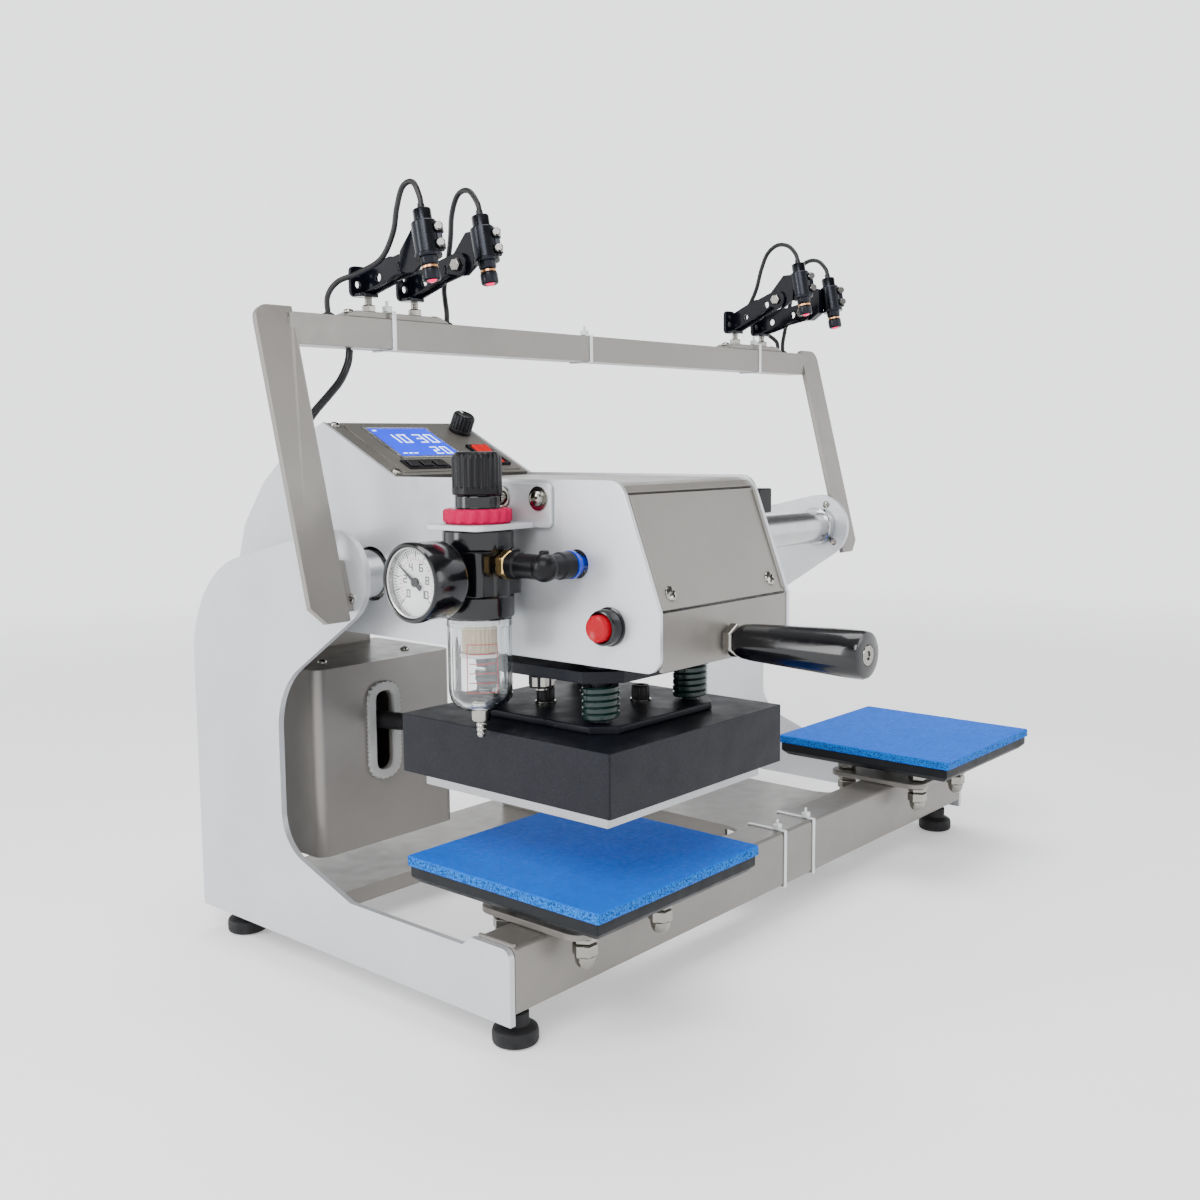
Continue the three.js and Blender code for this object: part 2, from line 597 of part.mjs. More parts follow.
// leaf screwed to the head's side, with a flange that the regulator hangs in
function regulatorBracket() {
  const face = -HEAD.half - GAP;
  const leafShape = outline([[-153.7, 293], [-89, 293], [-89, 317, 4], [-153.7, 317, 4]]);
  const leaf = extrude('side', leafShape, face - 2.2, face);
  const flangeShape = outline([[-107.5, -143, 9], [face, -143], [face, -100, 0], [-107.5, -100, 9]]);
  const flange = extrude('top', flangeShape, 293, 296);
  const hole = rod('z', 14.3, 292, 297, AIR_X, AIR_Y, 0, 24);
  const screws = [-144.7, -96.5].map((y) => rod('x', 4.2, face - 4.6, face - 2, 0, y, 308.6, 12));
  return join(leaf, cut(flange, hole), ...screws);
}

function filterBowl() {
  const profile = [
    [0, 178.8], [3, 178.8], [3, 188], [5.4, 188], [5.4, 194.4], [11, 194.4], [17.3, 203], [17.3, 244.7],
    [15.2, 244.7], [15.2, 204], [10.5, 196.8], [0, 196.8],
  ];
  return turned('z', profile, AIR_X, AIR_Y, 0, 18);
}

function pressureGauge() {
  const { face, dial, radius } = GAUGE;
  const back = AIR_X - 19.25 - GAP;
  const profile = [
    [0, dial], [radius - 2.5, dial], [radius - 2.5, face], [radius, face + 1], [radius, -113], [19, -111.5],
    [6, -111.5], [6, back], [0, back],
  ];
  return turned('x', profile, 0, AIR_Y, GAUGE.z, 20);
}

function gaugeNeedle() {
  const pointer = outline([[-5, -1.2], [15, -0.4], [15, 0.4], [-5, 1.2]]);
  const blade = extrude('side', pointer, GAUGE.dial - 2, GAUGE.dial - 1);
  const hub = rod('x', 2.4, GAUGE.dial - 2.4, GAUGE.dial - GAP, 0, 0, 0, 12);
  return join(blade, hub).rotateX(radians(NEEDLE_REST));
}

function elbowFitting() {
  const { y, z } = AIR_PORT;
  const portFace = AIR_Y - 19.25 - GAP;
  const nipple = rod('y', 8, portFace - 6, portFace, AIR_X, 0, z, 6);
  const inlet = rod('y', 6.8, y, portFace - 5, AIR_X, 0, z, 16);
  const corner = new THREE.SphereGeometry(7.4, 16, 10).translate(AIR_X, y, z);
  const outlet = rod('x', 6.8, AIR_X, -67, 0, y, z, 16);
  const collet = rod('x', 6, -68, -HEAD.half + 6, 0, y, z, 16);
  return join(nipple, inlet, corner, outlet, collet);
}

// ---------------------------------------------------------------- handle and button

function handleGrip() {
  const { end } = HANDLE;
  const nut = HEAD.front - GAP;
  const profile = [
    [0, end], [4.5, end], [4.5, end + 1], [11.4, end + 1], [12.35, end + 2.4], [12.35, end + 10], [11.2, end + 35],
    [10.2, end + 65], [9.2, end + 76], [7, end + 77.5], [7, nut], [0, nut],
  ];
  return turned('y', profile, 0, 0, HANDLE.z, 20);
}

function buttonCollar() {
  const face = -HEAD.half - GAP;
  const bore = BUTTON.cap + 0.4;
  const profile = [
    [bore, face - 8], [BUTTON.collar, face - 7], [BUTTON.collar, face], [8, face], [8, face + 17], [3, face + 17],
    [3, face + 8], [bore, face + 8], [bore, face - 8],
  ];
  return turned('x', profile, 0, BUTTON.y, BUTTON.z, 20);
}

function startButton() {
  const face = -HEAD.half - GAP;
  const tip = face - 12;
  const profile = [[0, tip], [BUTTON.cap - 1.2, tip], [BUTTON.cap, tip + 1.2], [BUTTON.cap, face + 3.5],
    [2.4, face + 3.5], [2.4, face + 12], [0, face + 12]];
  return turned('x', profile, 0, BUTTON.y, BUTTON.z, 20);
}

// ---------------------------------------------------------------- press stack

function choppedSquare(halfX, halfY, chop) {
  return outline([
    [-halfX + chop, WORK_Y - halfY], [halfX - chop, WORK_Y - halfY], [halfX, WORK_Y - halfY + chop],
    [halfX, WORK_Y + halfY - chop], [halfX - chop, WORK_Y + halfY], [-halfX + chop, WORK_Y + halfY],
    [-halfX, WORK_Y + halfY - chop], [-halfX, WORK_Y - halfY + chop],
  ]);
}

function fourCorners(offset, build) {
  return [-1, 1].flatMap((a) => [-1, 1].map((b) => build(a * offset, WORK_Y + b * offset)));
}

// pressing plate on the cylinder's rod
function ramPlate() {
  const { halfX, halfY, bottom, top, cut: chop } = RAM;
  const plate = extrude('top', choppedSquare(halfX, halfY, chop), bottom, top);
  const clearance = GUIDE_BOLT.radius + 0.5;
  const holes = fourCorners(GUIDE_BOLT.offset, (x, y) => rod('z', clearance, bottom - 1, top + 1, x, y, 0, 16));
  const pistonRod = rod('z', CYLINDER.rod, top - 1, 290, 0, WORK_Y, 0, 16);
  const piston = rod('z', CYLINDER.piston, 284, 294, 0, WORK_Y, 0);
  const nuts = [-44.5, 44.5].map((x) => rod('z', 7.2, bottom - 8, bottom + 1, x, WORK_Y, 0, 6));
  return join(cut(plate, ...holes), pistonRod, piston, ...nuts);
}

// plate on the heater, with the long guide bolts that run up through the springs
function heaterMountPlate() {
  const { halfX, halfY, bottom, top, cut: chop } = MOUNT;
  const plate = extrude('top', choppedSquare(halfX, halfY, chop), bottom, top);
  const shanks = fourCorners(GUIDE_BOLT.offset, (x, y) => (
    rod('z', GUIDE_BOLT.radius, top - 1, GUIDE_BOLT.top, x, y, 0, 12)));
  const heads = fourCorners(GUIDE_BOLT.offset, (x, y) => (
    rod('z', GUIDE_BOLT.head, RAM.top + GAP, GUIDE_BOLT.top, x, y, 0, 12)));
  const sockets = fourCorners(20, (x, y) => rod('z', 5, top - 1, top + 9, x, y, 0, 12));
  return join(plate, ...shanks, ...heads, ...sockets);
}

function heaterCover() {
  const { half, bottom, top, wall } = COVER;
  const outer = box(-half, half, WORK_Y - half, WORK_Y + half, bottom, top);
  const inner = box(-half + wall, half - wall, WORK_Y - half + wall, WORK_Y + half - wall, bottom - 1, top - wall);
  return cut(outer, inner);
}

function heatPlaten() {
  const { half, bottom, top } = HOT;
  const block = box(-half, half, WORK_Y - half, WORK_Y + half, bottom, top);
  const ceiling = COVER.top - COVER.wall - GAP;
  const standoffs = fourCorners(30, (x, y) => rod('z', 6, top - 1, ceiling, x, y, 0, 12));
  return join(block, ...standoffs);
}

function spring(x, y) {
  const { outer, inner, bottom, top } = SPRING;
  const profile = [[inner, bottom], [outer, bottom], [outer, top], [inner, top], [inner, bottom]];
  return turned('z', profile, x, y, 0, 16);
}

// ---------------------------------------------------------------- assembly

const machine = new THREE.Group();

addPiece(machine, 'left_side_plate', sidePlate(-1), 'silver_paint');
addPiece(machine, 'right_side_plate', sidePlate(1), 'silver_paint');
addPiece(machine, 'front_beam', frontBeam(), 'grey_paint');
addPiece(machine, 'spine_plate', spine(), 'grey_paint');
addPiece(machine, 'rear_base_plate', rearBasePlate(), 'grey_paint');
addPiece(machine, 'slide_shaft', slideShaft(), 'chrome');
addPiece(machine, 'rear_guide_shaft', rod('x', GUIDE.radius, -SPAN, SPAN, 0, GUIDE.y, GUIDE.z), 'chrome');

for (const [side, name] of [[-1, 'left'], [1, 'right']]) {
  addPiece(machine, `foot_front_${name}`, foot(side * FOOT.x, FOOT.front, BEAM.bottom - GAP), 'rubber');
  addPiece(machine, `foot_rear_${name}`, foot(side * FOOT.x, FOOT.rear, BASE.top - BASE.wall - GAP), 'rubber');
  addPiece(machine, `${name}_platen_bracket`, platenBracket(side * STATION_X), 'steel');
  addPiece(machine, `${name}_platen`, platen(side * STATION_X), 'charcoal_paint');
  addPiece(machine, `${name}_pad`, pad(side * STATION_X), 'blue_foam');
}

addPiece(machine, 'laser_frame', laserFrame(), 'grey_paint');
addPiece(machine, 'laser_base_left', laserBase(LASERS.slice(0, 2)), 'steel');
addPiece(machine, 'laser_base_right', laserBase(LASERS.slice(2)), 'steel');
LASERS.forEach((laser) => addPiece(machine, laser.name, laserHead(laser), 'black_plastic'));
Object.entries(leadRoutes()).forEach(([name, route]) => {
  addPiece(machine, name, cord(route, LEAD_DIAMETER, 8), 'rubber');
});
addPiece(machine, 'laser_supply_cable', cord(SUPPLY_ROUTE, SUPPLY_DIAMETER, 9), 'rubber');

const carriage = new THREE.Group();
carriage.position.x = HEAD_X;
machine.add(carriage);

const airHole = [AIR_PORT.y, AIR_PORT.z, 7.8];
const buttonHole = [BUTTON.y, BUTTON.z, 8.5];
const shaftHole = [SHAFT.y, SHAFT.z, SHAFT.radius + 2];
const guideHole = [GUIDE.y, GUIDE.z, GUIDE.radius + 2];
addPiece(carriage, 'head_left_panel', sidePanel(-1, [airHole, buttonHole, shaftHole, guideHole]), 'silver_paint');
addPiece(carriage, 'head_right_panel', sidePanel(1, [shaftHole, guideHole]), 'silver_paint');
addPiece(carriage, 'head_lower_front', insideSheet([HEAD.front, 221.5], [HEAD.front, 252], 0.5), 'grey_paint');
addPiece(carriage, 'head_front_cover', insideSheet([-225.3, 253.6], [-203.35, 312], 1), 'grey_paint');
addPiece(carriage, 'head_top_cover', topCover(), 'grey_paint');
addPiece(carriage, 'head_rear_cover', rearCover(), 'grey_paint');
addPiece(carriage, 'bearing_block', bearingBlock(), 'aluminium');
addPiece(carriage, 'air_cylinder', airCylinder(), 'aluminium');
addPiece(carriage, 'rear_box', rearBox(), 'grey_paint');
addPiece(carriage, 'heater_cable_sleeve', cord(SLEEVE_ROUTE, 2 * SLEEVE_RADIUS, 15), 'rubber');

const slope = new THREE.Group();
slope.position.set(0, SLOPE.y, SLOPE.z);
slope.rotation.x = radians(SLOPE.angle);
carriage.add(slope);
addPiece(slope, 'control_face', controlFace(), 'grey_paint');
addPiece(slope, 'encoder_knob', encoderKnob(), 'black_plastic').position.set(43.9, 59, 0);
addPiece(slope, 'power_rocker', rocker(), 'red_plastic').position.set(38.7, 22.5, -0.5);

addPiece(carriage, 'regulator_bracket', regulatorBracket(), 'steel');
addPiece(carriage, 'regulator_body', regulatorBody(), 'black_plastic');
addPiece(carriage, 'regulator_knob', regulatorKnob(), 'black_plastic');
addPiece(carriage, 'filter_bowl', filterBowl(), 'clear_plastic');
addPiece(carriage, 'pressure_gauge', pressureGauge(), 'white_dial');
addPiece(carriage, 'gauge_needle', gaugeNeedle(), 'black_plastic').position.set(0, AIR_Y, GAUGE.z);
addPiece(carriage, 'elbow_fitting', elbowFitting(), 'black_plastic');

addPiece(carriage, 'handle_grip', handleGrip(), 'black_plastic');
addPiece(carriage, 'button_collar', buttonCollar(), 'black_plastic');
addPiece(carriage, 'start_button', startButton(), 'red_plastic');

addPiece(carriage, 'ram_plate', ramPlate(), 'black_paint');
addPiece(carriage, 'heater_mount_plate', heaterMountPlate(), 'black_paint');
addPiece(carriage, 'heater_cover', heaterCover(), 'charcoal_paint');
addPiece(carriage, 'heat_platen', heatPlaten(), 'aluminium');
for (const [a, across] of [[-1, 'left'], [1, 'right']]) {
  for (const [b, along] of [[-1, 'front'], [1, 'rear']]) {
    const place = [a * GUIDE_BOLT.offset, WORK_Y + b * GUIDE_BOLT.offset];
    addPiece(carriage, `spring_${along}_${across}`, spring(...place), 'green_spring');
  }
}

// the origin is the middle of the whole machine's box, on the floor
const leftmost = HEAD_X + GAUGE.face;
machine.position.set(-(leftmost + ARM.outer) / 2, -(HANDLE.end + PLATE_REAR) / 2, 0);

const part = new THREE.Group();
part.add(machine);
export default part;
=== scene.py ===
"""Visual model of a pneumatic two-station heat press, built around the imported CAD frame.

Shapes are written in the machine's own millimetres: X along the slide shaft from the middle of the
machine, Y from the shaft's axis to the rear, Z up from the floor. TO_FRAME turns them into the
frame's metres.
"""

import math
import random

import bmesh
import bpy
from mathutils import Matrix, Vector


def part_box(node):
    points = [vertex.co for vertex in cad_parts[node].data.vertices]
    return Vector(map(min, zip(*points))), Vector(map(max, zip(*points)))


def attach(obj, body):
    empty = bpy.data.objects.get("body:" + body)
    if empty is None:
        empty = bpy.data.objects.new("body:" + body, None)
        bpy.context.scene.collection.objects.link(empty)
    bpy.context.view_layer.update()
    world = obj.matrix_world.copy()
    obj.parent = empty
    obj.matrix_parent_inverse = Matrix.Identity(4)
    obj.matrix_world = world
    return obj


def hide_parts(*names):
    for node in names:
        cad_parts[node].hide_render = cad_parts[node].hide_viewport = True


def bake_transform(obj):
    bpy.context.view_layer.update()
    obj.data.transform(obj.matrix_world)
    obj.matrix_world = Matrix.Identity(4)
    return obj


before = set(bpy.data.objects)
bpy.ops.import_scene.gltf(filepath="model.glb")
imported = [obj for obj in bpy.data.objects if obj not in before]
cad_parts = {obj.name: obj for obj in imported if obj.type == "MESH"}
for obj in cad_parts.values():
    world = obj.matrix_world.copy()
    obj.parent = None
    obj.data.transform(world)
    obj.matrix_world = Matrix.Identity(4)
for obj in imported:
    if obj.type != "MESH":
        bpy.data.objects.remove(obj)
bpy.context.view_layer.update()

random.seed(7)

MM = 0.001
shaft_low, shaft_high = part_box("slide_shaft")
ORIGIN = (shaft_low + shaft_high) / 2
ORIGIN.z = 0.0
TO_FRAME = Matrix.Translation(ORIGIN) @ Matrix.Scale(MM, 4)
UNMOVED = Matrix.Identity(4)

# places shared with the CAD, in machine millimetres
HEAD_X = -192.5
WORK_Y = -128.4
STATION_X = 201.5
SHAFT_Z = 259.0
GUIDE_Y, GUIDE_Z = 112.0, 240.0
PLATE_INNER = 277.0
PLATE_OUTER = 281.0
PANEL_X = HEAD_X - 60.35           # outer face of the head's left panel
FITTED_X = PANEL_X - 0.3           # where the parts fitted to that panel start
BAR_TOP = 418.0
AIR_X, AIR_Y = HEAD_X - 85.8, -121.5
AIR_AXIS = (AIR_X, AIR_Y, 0)
GAUGE_X, GAUGE_Z = HEAD_X - 135.5, 267.8
DIAL_X = GAUGE_X + 6
DIAL_PRINT = (DIAL_X - 0.62, DIAL_X - 0.4)
FIGURE_LOW, FIGURE_HIGH = 1.4, 1.7     # the display's figures, above the control face
GUIDE_BOLT = 41.0                  # from the ram's axis to a spring's, both ways
SLOPE = (TO_FRAME @ Matrix.Translation((HEAD_X, -22.8, 319.1))
         @ Matrix.Rotation(math.radians(26.5), 4, "X"))       # the control face's own frame

LASERS = {
    "left_outer": {"x": -227, "tip": 436, "post": -221},
    "left_inner": {"x": -178, "tip": 438, "post": -182},
    "right_inner": {"x": 197, "tip": 444, "post": 190},
    "right_outer": {"x": 246, "tip": 436, "post": 232},
}
LASER_Y, PIVOT_Y, POST_Y = -28.0, -8.0, 35.0
LASER_TILT = math.radians(11)

CAMERA = {"place": (-759.2, -620.5, 339.7), "heading": -48.73, "dip": 6.23, "roll": -0.507,
          "lens": 38.49, "shift": (0.012, -0.01625)}

# name, place, target and size in metres, watts
LIGHTS = (
    ("key", (-1.5, -0.7, 1.5), (0, 0, 0.25), (1.2, 0.8), 38),
    ("side", (-1.9, 0.8, 0.8), (-0.2, 0, 0.25), (0.5, 1.3), 22),
    ("fill", (1.0, -1.9, 0.8), (0, 0, 0.2), (0.7, 0.9), 6),
    ("top", (0.2, 0.1, 2.0), (0, 0, 0.2), (1.4, 1.0), 26),
)
# height of the direction looked in, and brightness: white walls under a dark band under a soft ceiling
SKY_BANDS = ((0.0, 1.0), (0.15, 1.0), (0.34, 1.0), (0.46, 0.10), (0.62, 0.06), (0.80, 0.28), (1.0, 0.38))
SKY_STRENGTH = 2.3
FLOOR_HALF = 4.0
FLOOR_FADE = (0.6, 2.4)


def at(x, y, z):
    """A machine point in the frame's metres."""
    return ORIGIN + Vector((x, y, z)) * MM


def new_object(name, data):
    obj = bpy.data.objects.new(name, data)
    bpy.context.scene.collection.objects.link(obj)
    return obj


# ---------------------------------------------------------------- camera, light and floor

def make_camera():
    data = bpy.data.cameras.new("camera")
    data.sensor_width = 36
    data.lens = CAMERA["lens"]
    data.shift_x, data.shift_y = CAMERA["shift"]
    data.clip_start, data.clip_end = 0.01, 50
    camera = new_object("camera", data)
    heading = Matrix.Rotation(math.radians(CAMERA["heading"]), 4, "Z")
    dip = Matrix.Rotation(math.radians(90 - CAMERA["dip"]), 4, "X")
    roll = Matrix.Rotation(math.radians(CAMERA["roll"]), 4, "Z")
    camera.matrix_world = Matrix.Translation(at(*CAMERA["place"])) @ heading @ dip @ roll
    bpy.context.scene.camera = camera


def make_sky():
    world = bpy.data.worlds.new("studio")
    bpy.context.scene.world = world
    world.use_nodes = True
    tree = world.node_tree
    split = tree.nodes.new("ShaderNodeSeparateXYZ")
    tree.links.new(tree.nodes.new("ShaderNodeTexCoord").outputs["Generated"], split.inputs["Vector"])
    sky = tree.nodes.new("ShaderNodeValToRGB")
    while len(sky.color_ramp.elements) < len(SKY_BANDS):
        sky.color_ramp.elements.new(0.5)
    for element, (height, level) in zip(sky.color_ramp.elements, SKY_BANDS):
        element.position = height
        element.color = (level * 0.97, level * 0.985, level, 1)
    tree.links.new(split.outputs["Z"], sky.inputs["Fac"])
    tree.links.new(sky.outputs["Color"], tree.nodes["Background"].inputs["Color"])
    tree.nodes["Background"].inputs["Strength"].default_value = SKY_STRENGTH


def make_studio():
    make_sky()
    for name, place, target, size, power in LIGHTS:
        data = bpy.data.lights.new(name, "AREA")
        data.shape = "RECTANGLE"
        data.size, data.size_y = size
        data.energy = power
        aim = (Vector(target) - Vector(place)).to_track_quat("-Z", "Y")
        new_object(name, data).matrix_world = Matrix.Translation(place) @ aim.to_matrix().to_4x4()
    mesh = bpy.data.meshes.new("floor")
    corners = rectangle(-FLOOR_HALF, FLOOR_HALF, -FLOOR_HALF, FLOOR_HALF)
    mesh.from_pydata([(x, y, 0) for x, y in corners], [], [(0, 1, 2, 3)])
    mesh.materials.append(studio_floor())
    floor = new_object("floor", mesh)
    floor.location.z = -0.0005


# ---------------------------------------------------------------- materials

class Nodes:
    """A material's node tree with short calls for what the finishes share."""

    def __init__(self, name):
        self.material = bpy.data.materials.new(name)
        self.material.use_nodes = True
        self.tree = self.material.node_tree
        self.shader = self.tree.nodes["Principled BSDF"]
        self.place = self.tree.nodes.new("ShaderNodeTexCoord").outputs["Object"]

    def link(self, start, end):
        self.tree.links.new(start, end)

    def set(self, **values):
        for name, value in values.items():
            self.shader.inputs[name.replace("_", " ")].default_value = value

    def stretched(self, scale):
        mapping = self.tree.nodes.new("ShaderNodeMapping")
        mapping.inputs["Scale"].default_value = scale
        self.link(self.place, mapping.inputs["Vector"])
        return mapping.outputs["Vector"]

    def noise(self, scale, detail=2.0, vector=None):
        node = self.tree.nodes.new("ShaderNodeTexNoise")
        node.inputs["Scale"].default_value = scale
        node.inputs["Detail"].default_value = detail
        self.link(vector or self.place, node.inputs["Vector"])
        return node.outputs["Fac"]

    def cells(self, scale):
        node = self.tree.nodes.new("ShaderNodeTexVoronoi")
        node.inputs["Scale"].default_value = scale
        self.link(self.place, node.inputs["Vector"])
        return node.outputs["Distance"]

    def ramp(self, value, low, high, start=0.3, end=0.7):
        node = self.tree.nodes.new("ShaderNodeValToRGB")
        first, last = node.color_ramp.elements
        first.position, last.position = start, end
        first.color, last.color = (*low, 1), (*high, 1)
        self.link(value, node.inputs["Fac"])
        return node.outputs["Color"]

    def spread(self, value, low, high, start=0.3, end=0.7, smooth=False):
        node = self.tree.nodes.new("ShaderNodeMapRange")
        if smooth:
            node.interpolation_type = "SMOOTHSTEP"
        limits = {"From Min": start, "From Max": end, "To Min": low, "To Max": high}
        for name, limit in limits.items():
            node.inputs[name].default_value = limit
        self.link(value, node.inputs["Value"])
        return node.outputs["Result"]

    def tint(self, value, low, high, start=0.3, end=0.7):
        self.link(self.ramp(value, low, high, start, end), self.shader.inputs["Base Color"])

    def gloss(self, value, low, high):
        self.link(self.spread(value, low, high), self.shader.inputs["Roughness"])

    def bump(self, height, depth, strength):
        node = self.tree.nodes.new("ShaderNodeBump")
        node.inputs["Strength"].default_value = strength
        node.inputs["Distance"].default_value = depth
        self.link(height, node.inputs["Height"])
        self.link(node.outputs["Normal"], self.shader.inputs["Normal"])


def studio_floor():
    """Pale sweep that fades out into the sky, so no horizon line shows."""
    n = Nodes("studio_floor")
    n.tint(n.noise(3, 3), (0.92, 0.92, 0.93), (0.95, 0.95, 0.96))
    n.set(Roughness=0.8, Emission_Strength=0.3, Emission_Color=(1, 1, 1, 1))
    distance = n.tree.nodes.new("ShaderNodeVectorMath")
    distance.operation = "LENGTH"
    n.link(n.place, distance.inputs[0])
    n.link(n.spread(distance.outputs["Value"], 1.0, 0.0, *FLOOR_FADE, smooth=True), n.shader.inputs["Alpha"])
    return n.material


def shade(colour, factor):
    return tuple(min(1.0, c * factor) for c in colour)


def painted(name, colour, rough, metal=0.0, grain=900, coat=0.0, shine=0.5):
    """Paint or powder coat: faint mottling, orange peel and uneven gloss."""
    n = Nodes(name)
    n.tint(n.noise(14, 4), shade(colour, 0.95), shade(colour, 1.05))
    n.gloss(n.noise(90, 5), rough * 0.85, rough * 1.15)
    n.set(Metallic=metal, Coat_Weight=coat, Coat_Roughness=0.12, Specular_IOR_Level=shine)
    n.bump(n.noise(grain, 3), 0.00006, 0.5)
    return n.material


def textured(name, colour, rough):
    """Dark textured powder coat, with fine lighter specks painted into its colour as glints off the texture.
    """
    n = Nodes(name)
    # painted highlight: the lighter specks, up to 2.2 times the base colour, stand in for glints off the
    # hammered texture
    n.tint(n.noise(1100, 2), shade(colour, 0.7), shade(colour, 2.2), 0.4, 0.7)
    n.gloss(n.noise(60, 3), rough * 0.85, rough * 1.15)
    n.set(Metallic=0.05, Specular_IOR_Level=0.2)
    n.bump(n.noise(1100, 2), 0.00012, 0.6)
    return n.material


def metal(name, colour, rough, along=(1, 1, 1)):
    """Bare or plated metal, brushed where along stretches the grain."""
    n = Nodes(name)
    grain = n.noise(1400, 4, n.stretched(along))
    n.tint(n.noise(35, 4), shade(colour, 0.9), shade(colour, 1.08))
    n.gloss(grain, rough * 0.7, rough * 1.35)
    n.set(Metallic=1.0)
    n.bump(grain, 0.00001, 0.4)
    return n.material


def plastic(name, colour, rough, grain=700, depth=0.00002, coat=0.0, glow=0.0, shine=0.3):
    """Moulded plastic or rubber with fine grain and handling marks in its gloss."""
    n = Nodes(name)
    n.tint(n.noise(40, 4), shade(colour, 0.88), shade(colour, 1.12))
    n.gloss(n.noise(150, 6), rough * 0.75, rough * 1.25)
    n.set(Coat_Weight=coat, Coat_Roughness=0.06, Specular_IOR_Level=shine)
    if glow:
        n.set(Emission_Color=(*colour, 1), Emission_Strength=glow)
    n.bump(n.noise(grain, 3), depth, 0.4)
    return n.material


def clear(name, colour, rough=0.03, ior=1.45):
    n = Nodes(name)
    n.tint(n.noise(50, 2), shade(colour, 0.985), colour)
    n.gloss(n.noise(120, 3), rough * 0.6, rough * 1.6)
    n.set(Transmission_Weight=1.0, IOR=ior)
    return n.material


def foam():
    """Closed-cell silicone foam: a smooth skin on top and open granular cells on its cut edges."""
    n = Nodes("foam_blue")
    split = n.tree.nodes.new("ShaderNodeSeparateXYZ")
    n.link(n.tree.nodes.new("ShaderNodeTexCoord").outputs["Normal"], split.inputs["Vector"])
    upright = n.tree.nodes.new("ShaderNodeMath")
    upright.operation = "ABSOLUTE"
    n.link(split.outputs["Z"], upright.inputs[0])
    mix = n.tree.nodes.new("ShaderNodeMix")
    mix.data_type = "RGBA"
    n.link(upright.outputs[0], mix.inputs["Factor"])
    n.link(n.ramp(n.cells(950), (0.004, 0.20, 0.72), (0.0, 0.03, 0.16), 0.1, 0.75), mix.inputs["A"])
    n.link(n.ramp(n.noise(120, 6), (0.0, 0.10, 0.56), (0.0, 0.118, 0.64)), mix.inputs["B"])
    n.link(mix.outputs["Result"], n.shader.inputs["Base Color"])
    n.gloss(n.noise(300, 4), 0.55, 0.8)
    n.set(Specular_IOR_Level=0.1)
    n.bump(n.noise(700, 3), 0.00012, 0.5)
    return n.material


